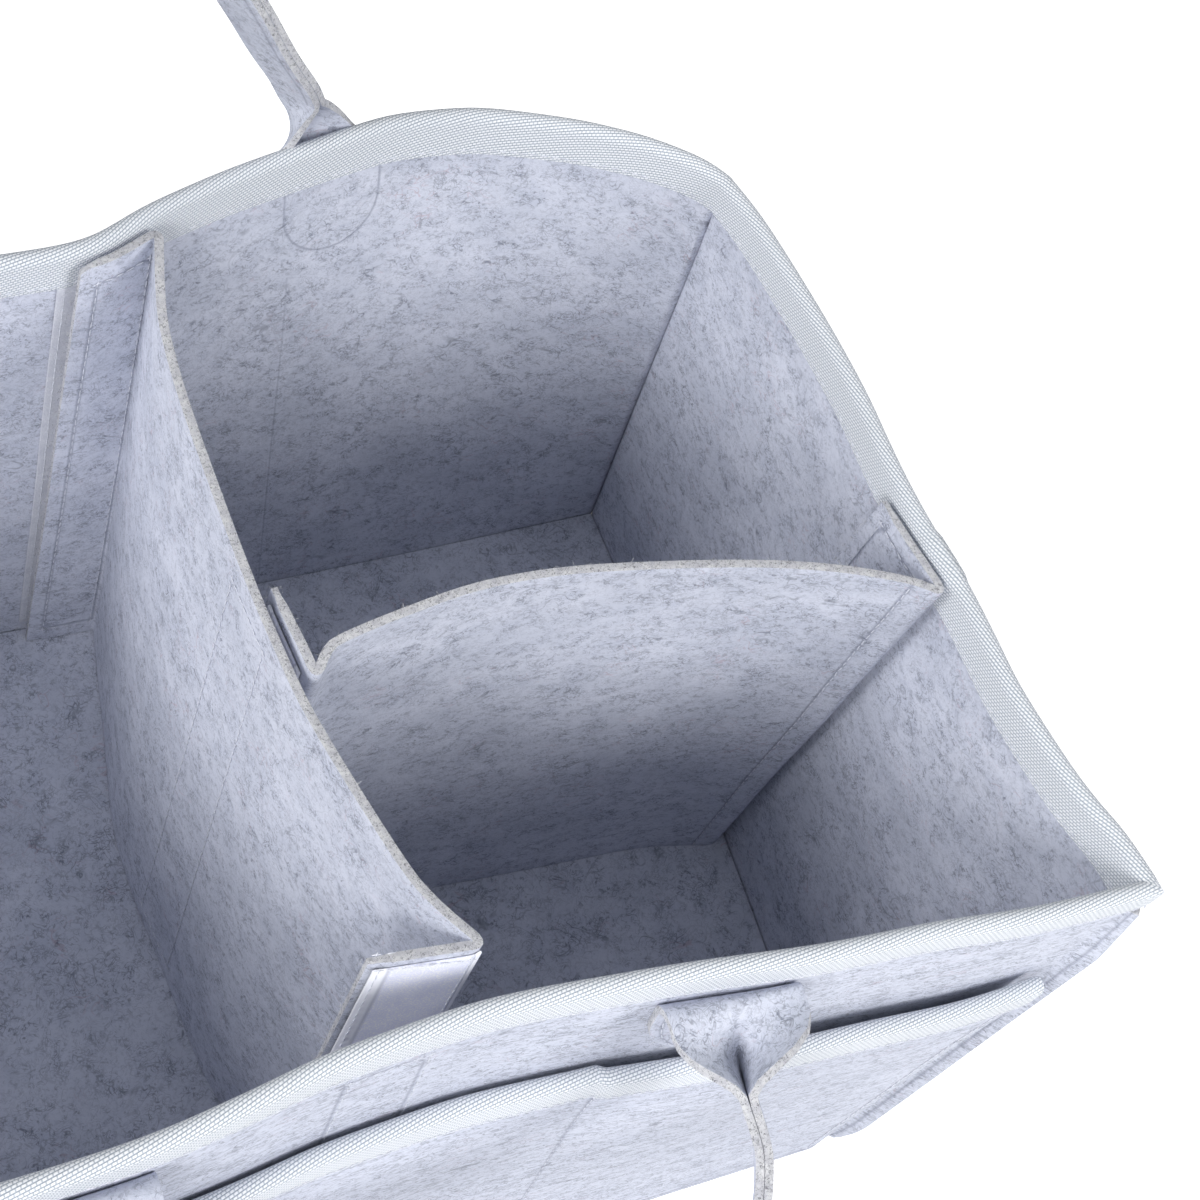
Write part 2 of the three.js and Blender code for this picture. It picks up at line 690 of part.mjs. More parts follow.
addPiece('front_wall_loop_strip', loopStrip(
  front, wall_row_heights, 'x', front_loop_centers, wall_strip_top, -1,
), tape_material);
addPiece('end_wall_loop_strip', loopStrip(
  right, wall_row_heights, 'y', end_loop_centers, wall_strip_top, -1,
), tape_material);
addPiece('cross_divider_loop_strip', loopStrip(
  cross, divider_heights, 'y', cross_loop_centers, divider_strip_top, -1,
), tape_material);

// Hook strips on the outer faces of the divider tabs. The tabs are the first and last stations.
function hookStrip(surface, fromStation, toStation, side) {
  const foot = divider_foot + strip_end_inset;
  const heights = [foot, ...divider_heights.slice(1, -1), divider_strip_top];
  const near = side * (felt / 2 + sewn_gap);
  const far = side * strip_reach;
  const outs = { inner: Math.min(near, far), outer: Math.max(near, far) };
  const spanAt = (height) => {
    const line = lineAt(surface, height);
    const station = (index) => index / surface.stations;
    const firstShare = tab_edge_width / line[fromStation].distanceTo(line[fromStation + 1]);
    const lastShare = tab_edge_width / line[toStation].distanceTo(line[toStation - 1]);
    return [station(fromStation + firstShare), station(toStation - lastShare)];
  };
  return sewnSheet(surface, strip_columns, heights, outs, spanAt);
}
addPiece('cross_divider_back_hook_strip', hookStrip(cross, 0, tab_columns, -1), hook_material);
addPiece('cross_divider_front_hook_strip', hookStrip(
  cross, cross.stations - tab_columns, cross.stations, -1,
), hook_material);
addPiece('small_divider_left_hook_strip', hookStrip(small, 0, tab_columns, 1), hook_material);
addPiece('small_divider_right_hook_strip', hookStrip(
  small, small.stations - tab_columns, small.stations, 1,
), hook_material);

export default caddy;
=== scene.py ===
import math

import bpy
import numpy as np
from mathutils import Matrix


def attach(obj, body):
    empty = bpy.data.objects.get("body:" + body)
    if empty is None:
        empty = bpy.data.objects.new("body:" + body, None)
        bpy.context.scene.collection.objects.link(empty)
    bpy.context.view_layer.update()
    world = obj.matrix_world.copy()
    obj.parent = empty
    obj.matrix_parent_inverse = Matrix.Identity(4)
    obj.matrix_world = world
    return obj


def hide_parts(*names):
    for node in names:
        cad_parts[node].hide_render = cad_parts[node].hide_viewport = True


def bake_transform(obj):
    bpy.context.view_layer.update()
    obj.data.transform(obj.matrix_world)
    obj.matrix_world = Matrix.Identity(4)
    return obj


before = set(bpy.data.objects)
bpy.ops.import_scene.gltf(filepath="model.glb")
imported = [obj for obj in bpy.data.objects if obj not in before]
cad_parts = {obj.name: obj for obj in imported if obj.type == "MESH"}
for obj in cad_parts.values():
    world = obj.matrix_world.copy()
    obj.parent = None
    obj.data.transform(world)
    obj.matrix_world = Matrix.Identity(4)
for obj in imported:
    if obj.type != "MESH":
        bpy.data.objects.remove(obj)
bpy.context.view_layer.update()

# Floor panel and walls. Five panels die-cut from 3 mm pressed polyester felt. The floor lies
# inside the feet of the walls, and each wall is sewn to the next through a seam allowance
# that points outward at the corner. All work is in millimetres, turned to metres at the end.

MM = 0.001
FELT = 3.0
WALL_HEIGHT = 180.0
HALF_LENGTH = 170.5
HALF_DEPTH = 121.3
SEAM_ALLOWANCE = 8.0
SEAM_GAP = 0.15
SEAM_TOP = 170.2
GRID_STEP = 3.4
NO_SEAM = 99.0
WAVES = 5
WAVE_SIZE = 0.2

foot_corners = {
    "front_left": (-HALF_LENGTH, -HALF_DEPTH), "front_right": (HALF_LENGTH, -HALF_DEPTH),
    "back_right": (HALF_LENGTH, HALF_DEPTH), "back_left": (-HALF_LENGTH, HALF_DEPTH),
}
rim_corners = {
    "front_left": (-193.0, -111.5), "front_right": (205.0, -113.0),
    "back_right": (174.2, 132.5), "back_left": (-172.0, 125.0),
}
straight = [(0, 0), (1, 0)]
arch = [(0, 0), (0.25, 0.75), (0.5, 1), (0.75, 0.75), (1, 0)]
front_rim = [
    (0, 0), (0.16, 0.23), (0.28, 0.3), (0.34, 0.4), (0.4, 0.65), (0.44, 0.84), (0.52, 1),
    (0.565, 0.98), (0.61, 0.88), (0.67, 0.73), (0.76, 0.44), (0.84, 0.29), (0.91, 0.09), (1, 0),
]
end_rim = [
    (0, 0), (0.065, 0.18), (0.107, 0.58), (0.16, 0.87), (0.257, 1), (0.325, 0.73), (0.4, 0.47),
    (0.48, 0.49), (0.54, 0.36), (0.595, 0.1), (0.66, -0.27), (0.75, -0.5), (0.85, -0.53),
    (0.933, -0.42), (1, 0),
]
back_rim = [
    (0, 0), (0.012, 0.17), (0.035, 0.34), (0.061, 0.5), (0.093, 0.646), (0.125, 0.767), (0.188, 0.946),
    (0.223, 0.99), (0.272, 1), (0.31, 0.945), (0.39, 0.78), (0.44, 0.66), (0.5, 0.48), (0.529, 0.36),
    (0.555, 0.26), (0.59, 0.22), (0.656, 0.21), (0.763, 0.17), (0.85, 0.12), (0.936, 0.06), (1, 0),
]


def unit(vectors):
    """Vectors brought to a length of 1."""
    return vectors / np.linalg.norm(vectors, axis=-1, keepdims=True)


def length_along(line):
    """How far along a line each of its points lies."""
    return np.concatenate([[0], np.cumsum(np.linalg.norm(np.diff(line, axis=0), axis=1))])


def smooth_line(knots):
    """A curve through its knots, finely sampled."""
    knots = np.array(knots, float)
    padded = np.vstack([knots[:1], knots, knots[-1:]])
    t = np.linspace(0, 1, 60, endpoint=False)[:, None]
    spans = [
        0.5 * (2 * b + (c - a) * t + (2 * a - 5 * b + 4 * c - d) * t**2 + (3 * b - a - 3 * c + d) * t**3)
        for a, b, c, d in zip(padded[:-3], padded[1:-2], padded[2:-1], padded[3:])
    ]
    return np.vstack(spans + [knots[-1:]])


def part_of(line, start, stop, count):
    """Evenly spaced points of a line between two distances along it; a stop of 0 or less counts
    back from its end."""
    gone = length_along(line)
    places = np.linspace(start, stop if stop > 0 else gone[-1] + stop, count)
    return np.stack([np.interp(places, gone, line[:, k]) for k in range(line.shape[1])], axis=1)


def bowed_edge(start, end, bow, shares, count=481):
    """Evenly spaced plan points of an edge from start to end that bows to its right."""
    start, end = np.array(start, float), np.array(end, float)
    run = unit(end - start)
    side = np.array([run[1], -run[0]])
    knots = [start + a * (end - start) + bow * b * side for a, b in shares]
    return part_of(smooth_line(knots), 0, 0, count)


def soften(line, width):
    """Rounds the kinks of an open line over a few samples and keeps its ends."""
    kernel = np.hanning(2 * width + 3)[1:-1]
    padded = np.vstack([2 * line[0] - line[width:0:-1], line, 2 * line[-1] - line[-2:-width - 2:-1]])
    return np.stack([np.convolve(padded[:, k], kernel / kernel.sum(), "valid") for k in (0, 1)], axis=1)


def make_wall(first, last, foot, rim, seed):
    """A wall is ruled between the plan lines of its foot and of its rim, and waves a little."""
    low = bowed_edge(foot_corners[first], foot_corners[last], *foot)
    high = soften(bowed_edge(rim_corners[first], rim_corners[last], *rim), 12)
    return {"heights": np.array([0.0, WALL_HEIGHT]), "lines": np.array([low, high]), "seed": seed}


def plan_line(sheet, height):
    """The plan line of a standing sheet at one height."""
    level = int(np.clip(np.searchsorted(sheet["heights"], height) - 1, 0, len(sheet["heights"]) - 2))
    low, high = sheet["heights"][level], sheet["heights"][level + 1]
    rise = (height - low) / (high - low)
    return sheet["lines"][level] * (1 - rise) + sheet["lines"][level + 1] * rise


def wave_of(sheet, along, height):
    """The slow uneven wave of felt that was packed flat and opened again, none at foot and rim."""
    if "seed" not in sheet:
        return 0.0
    rng = np.random.default_rng(sheet["seed"])
    wave = 0.0
    for _ in range(WAVES):
        turns, climbs, shift = rng.uniform(1.2, 5.0), rng.uniform(-2.2, 2.2), rng.uniform(0, 6.28)
        wave = wave + np.sin(2 * np.pi * (turns * along + climbs * height / WALL_HEIGHT) + shift)
    ends = np.sin(np.pi * np.clip(along, 0, 1)) ** 0.5
    return WAVE_SIZE * wave * ends * np.sin(np.pi * np.clip(height / WALL_HEIGHT, 0, 1))


def on_sheet(sheet, along, height, out=0.0):
    """Points at shares along a standing sheet, at one height, moved to its right by out."""
    along = np.atleast_1d(np.asarray(along, float))
    line = plan_line(sheet, height)
    run = unit(np.gradient(line, axis=0))
    places, steps = along * (len(line) - 1), np.arange(len(line))
    x, y, run_x, run_y = (np.interp(places, steps, values) for values in (*line.T, *run.T))
    size = np.hypot(run_x, run_y)
    out = out + wave_of(sheet, along, height)
    return np.stack([x + run_y / size * out, y - run_x / size * out, np.full_like(x, height)], axis=1)


def where_on(sheet, axis, values, height, out=0.0, within=(0.0, 1.0)):
    """The shares along a sheet where its line at a height reaches x (axis 0) or y (axis 1) values."""
    shares = np.linspace(*within, 1401)
    found = on_sheet(sheet, shares, height, out)[:, axis]
    order = np.argsort(found)
    return np.interp(values, found[order], shares[order])


front = make_wall("front_left", "front_right", (0, straight), (-15.3, front_rim), 3)
right = make_wall("front_right", "back_right", (3, arch), (-5.5, end_rim), 5)
back = make_wall("back_right", "back_left", (-4, arch), (39, back_rim), 8)
left_rim = [(1 - a, b) for a, b in reversed(end_rim)]
left = make_wall("back_left", "front_left", (3, arch), (-5.5, left_rim), 12)
walls = {"front_wall": front, "right_end_wall": right, "back_wall": back, "left_end_wall": left}


def linear(code):
    """An sRGB hex colour as Blender's linear RGBA."""
    parts = [int(code[k:k + 2], 16) / 255 for k in (1, 3, 5)]
    return tuple(p / 12.92 if p <= 0.04045 else ((p + 0.055) / 1.055) ** 2.4 for p in parts) + (1.0,)


def new_node(tree, kind, inputs=None, **settings):
    """Adds one node: settings are its options, inputs its values or the sockets linked to them."""
    new = tree.nodes.new(kind)
    for name, value in settings.items():
        setattr(new, name, value)
    for name, value in (inputs or {}).items():
        if isinstance(value, bpy.types.NodeSocket):
            tree.links.new(value, new.inputs[name])
        else:
            new.inputs[name].default_value = value
    return new


def add(tree, kind, inputs=None, **settings):
    """Adds one node and returns its first output."""
    return new_node(tree, kind, inputs, **settings).outputs[0]


def new_material(name, roughness, sheen=0.0):
    """A material with its tree, its Principled shader and the place that its patterns hang on."""
    material = bpy.data.materials.new(name)
    material.use_nodes = True
    tree = material.node_tree
    shader = tree.nodes["Principled BSDF"]
    for setting, value in (("Roughness", roughness), ("IOR", 1.46), ("Specular IOR Level", 0.2),
                           ("Sheen Weight", sheen), ("Sheen Roughness", 0.6)):
        shader.inputs[setting].default_value = value
    return material, tree, shader, new_node(tree, "ShaderNodeTexCoord").outputs["Object"]


def noise(tree, place, scale, detail=2.0, rough=0.5, bend=0.0):
    """Cloudy noise, its scale given as the number of clouds in a metre."""
    return add(tree, "ShaderNodeTexNoise", {
        "Vector": place, "Scale": scale, "Detail": detail, "Roughness": rough, "Distortion": bend})


def ramp(tree, value, low, high, bottom=0.0, top=1.0):
    """A value stretched from low..high to bottom..top and held there."""
    return add(tree, "ShaderNodeMapRange", {
        "Value": value, "From Min": low, "From Max": high, "To Min": bottom, "To Max": top})


def maths(tree, operation, *values):
    """One step of arithmetic on numbers or sockets."""
    return add(tree, "ShaderNodeMath", dict(enumerate(values)), operation=operation)


def times(tree, first, second):
    """The product of two numbers or sockets."""
    return maths(tree, "MULTIPLY", first, second)


def away_from(tree, value, middle=0.5):
    """How far a value lies from a middle, whichever way."""
    return maths(tree, "ABSOLUTE", maths(tree, "SUBTRACT", value, middle))


def map_axes(tree, name):
    """The values of a UV map."""
    values = add(tree, "ShaderNodeUVMap", uv_map=name)
    return new_node(tree, "ShaderNodeSeparateXYZ", {0: values}).outputs


def tinted(tree, color, *layers):
    """A colour with others laid over it, each by its share; any is a hex code or a socket."""
    for share, tint in layers:
        under, over = (linear(c) if isinstance(c, str) else c for c in (color, tint))
        color = new_node(tree, "ShaderNodeMix", {0: share, 6: under, 7: over}, data_type="RGBA").outputs[2]
    return color


def surface(tree, shader, color, height, strength, depth):
    """Gives a shader its colour and the bumps of a height pattern, depth in metres."""
    tree.links.new(color, shader.inputs["Base Color"])
    bump = add(tree, "ShaderNodeBump", {"Strength": strength, "Distance": depth, "Height": height})
    tree.links.new(bump, shader.inputs["Normal"])
    return bump


# Pressed polyester felt, needle-punched from cool white staple with some grey: matt and soft,
# cloudy on a 10 mm scale, with a web of curled dark fibres 2 to 8 mm long that crowd into loose
# streaks, and a few pink ones. The fibres are drawn 0.25 mm wide, coarser than real ones, so that
# they show. Where the UV map "seam" comes to 0 a stitch line draws the felt in a little, and the
# groove is darkened with painted shade. Each layer of fibres has its count in a metre, curl, width
# and a shift that sets it apart.
DARK_FIBRES = (
    (115.0, 1.2, 0.016, 0.0), (165.0, 1.6, 0.022, 3.7), (240.0, 1.8, 0.03, 9.1),
    (330.0, 1.8, 0.04, 14.6), (560.0, 1.2, 0.06, 27.2),
)
PINK_FIBRES = ((150.0, 1.6, 0.022, 21.3),)


def fibre_web(tree, place, layers):
    """Curled lines where a noise crosses its middle, broken into pieces by a second noise."""
    web = 0.0
    for scale, bend, width, shift in layers:
        moved = add(tree, "ShaderNodeMapping", {"Vector": place, "Location": (shift,) * 3})
        curl = away_from(tree, noise(tree, moved, scale, 1.0, 0.5, bend))
        piece = ramp(tree, noise(tree, moved, scale * 0.9, 1.0), 0.48, 0.58)
        line = times(tree, ramp(tree, curl, width, width * 0.25), piece)
        web = maths(tree, "MAXIMUM", web, line)
    return web


def pressed_felt(name, depth, crowding, stretch):
    """The felt: how strongly dark fibres show, how much they gather, how level they lie."""
    material, tree, shader, place = new_material(name, 0.95, sheen=0.1)
    level = (1 / stretch, 1 / stretch, stretch)
    streaks = add(tree, "ShaderNodeMapping", {"Vector": place, "Scale": level})
    cloud = noise(tree, streaks, 48.0, 4.0, 0.6)
    crowd = ramp(tree, noise(tree, streaks, 135.0, 5.0, 0.68, 0.8), 0.42, 0.62)
    mottle = noise(tree, streaks, 640.0, 5.0, 0.75, 1.0)
    fine = noise(tree, place, 2400.0, 2.0, 0.6)
    gathered = ramp(tree, crowd, 0.0, 1.0, 1.0 - crowding, 1.0)
    fibres = times(tree, fibre_web(tree, streaks, DARK_FIBRES), gathered)
    patches = ramp(tree, noise(tree, place, 40.0), 0.5, 0.62)
    pink = times(tree, fibre_web(tree, streaks, PINK_FIBRES), patches)
    gathered = ramp(tree, crowd, 0.0, 1.0, 0.9 - 0.8 * crowding, 0.85)
    specks = times(tree, ramp(tree, mottle, 0.5, 0.68), gathered)
    seam = ramp(tree, maths(tree, "ABSOLUTE", map_axes(tree, "seam")[0]), 0.0, 0.85, 1.0, 0.0)
    spread = 0.5 * crowding
    # The last layer is painted shade: each stitch line's groove is darkened in the colour as well as bumped.
    color = tinted(
        tree, "#e1e4f1", (ramp(tree, cloud, 0.38, 0.62, 0.5 - spread, 0.5 + spread), "#cfd3e1"),
        (times(tree, crowd, 0.42 * depth * crowding), "#b0b6c8"), (times(tree, specks, depth), "#999fb1"),
        (times(tree, pink, 0.4 * depth), "#b7909c"), (times(tree, fibres, 0.62), "#565b6d"),
        (times(tree, seam, 0.55), "#8b8fa2"))
    height = maths(tree, "ADD", times(tree, mottle, 0.8), times(tree, fine, 0.5))
    surface(tree, shader, color, maths(tree, "SUBTRACT", height, times(tree, seam, 0.9)), 0.6, 0.0005)
    return material


melange_felt = pressed_felt("melange_polyester_felt", 0.85, 0.7, 1.2)
calendered_felt = pressed_felt("calendered_polyester_felt", 0.7, 0.3, 1.7)

# The cut edge of the same felt: the blade opens the staple, which leaves it creamier, dotted
# with the dark fibre ends, and rough on a scale of half a millimetre.
felt_cut_edge, tree, shader, place = new_material("melange_felt_cut_edge", 0.97, sheen=0.15)
grit = noise(tree, place, 1400.0, 5.0, 0.78, 0.8)
lumps = noise(tree, place, 380.0, 3.0, 0.6)
color = tinted(tree, "#fafafd", (ramp(tree, lumps, 0.35, 0.65), "#e0e0e8"),
               (ramp(tree, grit, 0.52, 0.63, 0.0, 0.85), "#66666f"))
surface(tree, shader, color, grit, 1.0, 0.0009)


def bake(piece, sharp=60):
    """Turns a piece with its modifiers into one plain mesh, smooth but for its sharp edges."""
    graph = bpy.context.evaluated_depsgraph_get()
    live = piece.evaluated_get(graph)
    made = bpy.data.meshes.new_from_object(live, preserve_all_data_layers=True, depsgraph=graph)
    piece.modifiers.clear()
    piece.data = made
    for polygon in made.polygons:
        polygon.use_smooth = True
    made.set_sharp_from_angle(angle=math.radians(sharp))
    return piece


def linked(name, data):
    """An object for a mesh, a lamp or a camera, put into the scene."""
    item = bpy.data.objects.new(name, data)
    bpy.context.scene.collection.objects.link(item)
    return item


def new_piece(name, points, faces, materials=(), edges=()):
    """A mesh object from points in millimetres."""
    mesh = bpy.data.meshes.new(name)
    mesh.from_pydata((np.asarray(points, float) * MM).tolist(), edges, faces)
    for material in materials:
        mesh.materials.append(material)
    return linked(name, mesh)


def set_map(piece, name, corners):
    """Gives a piece a UV map, one pair of values for each corner of each face."""
    layer = piece.data.uv_layers.new(name=name)
    layer.data.foreach_set("uv", np.asarray(corners, np.float32).ravel())


def sheet_piece(name, grid, materials, thickness, edge, maps, keep=None, press=None):
    """A sheet from a grid of points on its middle: it gets a thickness, soft edges and UV maps."""
    columns, rows = grid.shape[:2]
    number = np.arange(columns * rows).reshape(columns, rows)
    quads = np.stack([number[:-1, :-1], number[1:, :-1], number[1:, 1:], number[:-1, 1:]], axis=2)
    quads = quads.reshape(-1, 4) if keep is None else quads[keep]
    used = np.unique(quads)
    quads = np.searchsorted(used, quads)
    piece = new_piece(name, grid.reshape(-1, 3)[used], quads.tolist(), materials)
    for map_name, values in maps.items():
        set_map(piece, map_name, values.reshape(-1, 2)[used][quads])
    solid = piece.modifiers.new("thickness", "SOLIDIFY")
    solid.thickness, solid.offset, solid.use_even_offset = thickness * MM, 0.0, True
    solid.use_quality_normals = True
    if press is not None:
        group = piece.vertex_groups.new(name="press")
        for index, share in enumerate(press.ravel()[used]):
            group.add([index], float(share), "REPLACE")
        solid.vertex_group = "press"
    solid.material_offset_rim = len(materials) - 1
    soft = piece.modifiers.new("soft_edge", "BEVEL")
    soft.width, soft.segments, soft.limit_method = edge * MM, 2, "ANGLE"
    soft.angle_limit = math.radians(50)
    bake(piece)
    piece.vertex_groups.clear()
    return piece


def felt_piece(name, grid, keep=None, seam=None, press=None, felt=melange_felt):
    """A felt sheet; seam is the signed distance of each grid point to the nearest stitch line."""
    seam = np.full(grid.shape[:2], NO_SEAM) if seam is None else seam
    maps = {"seam": np.stack([seam, np.zeros_like(seam)], axis=2)}
    return sheet_piece(name, grid, (felt, felt_cut_edge), FELT, 0.5, maps, keep, press)


def dress(piece, body, slot, *nodes):
    """Hangs a piece on its body and lets it stand for the plain solids, if it has any."""
    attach(piece, body)
    if nodes:
        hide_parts(*nodes)


threads = {}
raw_edges = {}


def sew(body, points):
    """Notes a line of stitches for the sewing at the end."""
    threads.setdefault(body, []).append(np.asarray(points, float))


def fray(body, points):
    """Notes the middle of a cut edge that sheds fibres."""
    raw_edges.setdefault(body, []).append(np.asarray(points, float))


def nearest(*distances):
    """Of several signed distances, the one to the nearest line."""
    stack = np.stack([np.broadcast_to(d, np.broadcast(*distances).shape) for d in distances])
    return np.take_along_axis(stack, np.abs(stack).argmin(axis=0)[None], axis=0)[0]


def corner_out(before, after, height):
    """The outward diagonal of the corner where one wall ends and the next begins."""
    first, second = plan_line(before, height), plan_line(after, height)
    runs = unit(first[-1] - first[-12]), unit(second[11] - second[0])
    return unit(sum(np.array([run[1], -run[0]]) for run in runs))


BAYS = 3
POCKET_SEAMS = {"front_wall": (0.347, 0.637), "back_wall": (0.385, 0.653)}
STRIP_WIDTH = 25.0
strip_centers = {
    "front_wall": (0, -20.0, -2.5), "back_wall": (0, -31.7, -16.6), "right_end_wall": (1, 0.5, 0.5),
}
tongue_centers = {"front_wall": (-79.5, 84.9), "back_wall": (-78.0, 58.0)}
TONGUE_HALF_WIDTH = 19.0
TONGUE_TOP = 167.0
TONGUE_FOOT = 139.0
TONGUE_SEAM_SHARPNESS = 1.4
STITCH_INSET = 3.2
STRIP_SEAM_INSET = 2.0
STRIP_SEAM_FOOT = 10.0
STRIP_SEAM_HEAD = 166.0
POCKET_HEIGHT = 137.0
RIM_TRIM = 0.42
RIM_TRIM_FROM = 146.0
RIM_TRIM_RISE = 24.0
FOOT_TRIM = 0.5
FOOT_TRIM_RISE = 16.0
END_COLUMNS = (1.0, 0.7, 0.4, 0.16)
END_SEAMS = (4.0, 1.6, -0.8, -2.7, -3.5)


def box_distance(x, y, half_x, low, high):
    """Signed distance to the outline of an upright box with its middle at x = 0."""
    dx, dy = np.abs(x) - half_x, np.abs(y - (low + high) / 2) - (high - low) / 2
    return np.hypot(np.maximum(dx, 0), np.maximum(dy, 0)) + np.minimum(np.maximum(dx, dy), 0)


def wall_seams(name, points, shares):
    """Signed distances of wall points to the stitch lines that come through the wall."""
    z, lines = points[:, 2], [np.full(len(points), NO_SEAM)]
    if name in strip_centers:
        axis, low, high = strip_centers[name]
        middle = low + (high - low) * z / WALL_HEIGHT
        lines.append(box_distance(points[:, axis] - middle, z, STRIP_WIDTH / 2 - STRIP_SEAM_INSET,
                                  STRIP_SEAM_FOOT, STRIP_SEAM_HEAD))
    for x in tongue_centers.get(name, ()):
        half, middle = TONGUE_HALF_WIDTH - STITCH_INSET, TONGUE_FOOT + TONGUE_HALF_WIDTH
        beside = np.abs(points[:, 0] - x)
        round_foot = np.where(z > middle, beside, np.hypot(beside, z - middle))
        lines.append((round_foot - half) * TONGUE_SEAM_SHARPNESS)
    for mark in POCKET_SEAMS.get(name, ()):
        lines.append(np.hypot((shares - mark) * 2 * HALF_LENGTH, np.maximum(z - POCKET_HEIGHT, 0.0)))
    return nearest(*lines)


def allowance_at(height):
    """The seam allowance, drawn in below the rim binding and trimmed at the foot."""
    under_rim = RIM_TRIM * np.clip((height - RIM_TRIM_FROM) / RIM_TRIM_RISE, 0, 1)
    at_foot = FOOT_TRIM * max(0.0, 1 - height / FOOT_TRIM_RISE) ** 2
    return SEAM_ALLOWANCE * (1 - under_rim - at_foot)


def wall_piece(name, wall, before, after):
    """One wall with its two seam allowances, which stop under the rim binding."""
    below = np.linspace(0, SEAM_TOP, 50)
    heights = np.concatenate([below, np.linspace(SEAM_TOP, WALL_HEIGHT, 4)[1:]])
    shares = np.linspace(0, 1, int(length_along(plan_line(wall, WALL_HEIGHT / 2))[-1] / GRID_STEP))[1:-1]
    rows, seams = [], []
    for height in heights:
        middle = on_sheet(wall, shares, height)
        ends = []
        for share, near, diagonal in (
            (0.0, middle[2, :2], corner_out(before, wall, height)),
            (1.0, middle[-3, :2], corner_out(wall, after, height)),
        ):
            corner = on_sheet(wall, share, height)[0, :2]
            inward = unit(near - corner)
            across = np.linalg.norm(inward - diagonal * inward.dot(diagonal))
            bend = corner + inward * (FELT / 2 + SEAM_GAP / 2) / across
            allowance = diagonal * allowance_at(height)
            ends.append([bend + allowance * part for part in END_COLUMNS]
                        + [bend + inward * 0.5 + diagonal * 0.25])
        plan = np.vstack([ends[0], middle[:, :2], ends[1][::-1]])
        rows.append(np.column_stack([plan, np.full(len(plan), height)]))
        seams.append(np.concatenate([END_SEAMS, wall_seams(name, middle, shares), END_SEAMS[::-1]]))
    grid, seam = np.array(rows).transpose(1, 0, 2), np.array(seams).T
    keep = np.ones((grid.shape[0] - 1, grid.shape[1] - 1), bool)
    for end, columns in ((0, slice(0, len(END_COLUMNS))), (-1, slice(-len(END_COLUMNS), None))):
        keep[columns, len(below) - 1:] = False
        fray("caddy_body", grid[end, :len(below)])
    felt = calendered_felt if wall is front else melange_felt
    return felt_piece(name + "_felt", grid[:, ::-1], keep[:, ::-1], seam[:, ::-1], felt=felt)


order = list(walls.values())
for index, (name, wall) in enumerate(walls.items()):
    made = wall_piece(name, wall, order[index - 1], order[(index + 1) % 4])
    dress(made, "caddy_body", "felt", name)

FLOOR_END_GAP = 1.6
FLOOR_SIDE_GAP = 1.8
FLOOR_BOW = 3.0
across = np.linspace(0, 1, 101)
grid = np.zeros((101, 71, 3))
front_foot, back_foot = plan_line(front, FELT), plan_line(back, FELT)[::-1]
for j, share in enumerate(np.linspace(0, 1, 71)):
    half = HALF_LENGTH - FLOOR_END_GAP + FLOOR_BOW * (1 - (2 * share - 1) ** 2)
    xs = half * (2 * across - 1)
    near = np.interp(xs, front_foot[:, 0], front_foot[:, 1]) + FLOOR_SIDE_GAP
    far = np.interp(xs, back_foot[:, 0], back_foot[:, 1]) - FLOOR_SIDE_GAP
    wave = 0.6 + 0.4 * np.sin(5.1 * across + 3.3 * share)
    rise = 0.8 * wave * np.sin(np.pi * across) * math.sin(np.pi * share)
    grid[:, j] = np.stack([xs, near + (far - near) * share, FELT / 2 + rise], axis=1)
dress(felt_piece("floor_panel_felt", grid), "caddy_body", "felt", "floor_panel")

# Loop strips. Three 25 mm strips of brushed nylon loop tape sewn inside the front wall, the back
# wall and the right end wall, where the tabs of the dividers press on.

STRIP = 0.8
STRIP_GAP = 0.12
STRIP_FOOT = 8.0
STRIP_HEAD = 167.7
STITCH_MARGIN = 0.08

# Brushed nylon loop: a dense low pile of tiny loops, soft and matt, on a plain woven border.
loop_tape, tree, shader, place = new_material("brushed_nylon_loop_tape", 0.9, sheen=0.3)
pile = noise(tree, place, 1700.0, 4.0, 0.7, 1.2)
nap = noise(tree, place, 240.0, 3.0, 0.6)
color = tinted(tree, "#d6d8e4", (ramp(tree, pile, 0.36, 0.66), "#eef0f8"),
               (ramp(tree, nap, 0.4, 0.7, 0.0, 0.4), "#c3c6d6"))
surface(tree, shader, color, pile, 0.8, 0.0006)


def strip_piece(name, material, sheet, heights, edges_at, side, slant=0.0):
    """A tape on a sheet: edges_at gives its first and last share along the sheet at a height."""
    out = side * (FELT / 2 + STRIP_GAP + STRIP / 2)
    across = np.linspace(0, 1, 11)
    rows, runs = [], []
    for height in heights:
        rows.append(on_sheet(sheet, np.linspace(*edges_at(height), 11), height, out))
        rows[-1][:, 2] -= slant * across * (height / WALL_HEIGHT) ** 6
        runs.append(np.stack([across * STRIP_WIDTH, np.full(11, height)], axis=1))
    grid, maps = np.array(rows).transpose(1, 0, 2), np.array(runs).transpose(1, 0, 2)
    return sheet_piece(name, grid[:, ::-1], (material,), STRIP, 0.2, {"tape": maps[:, ::-1]})


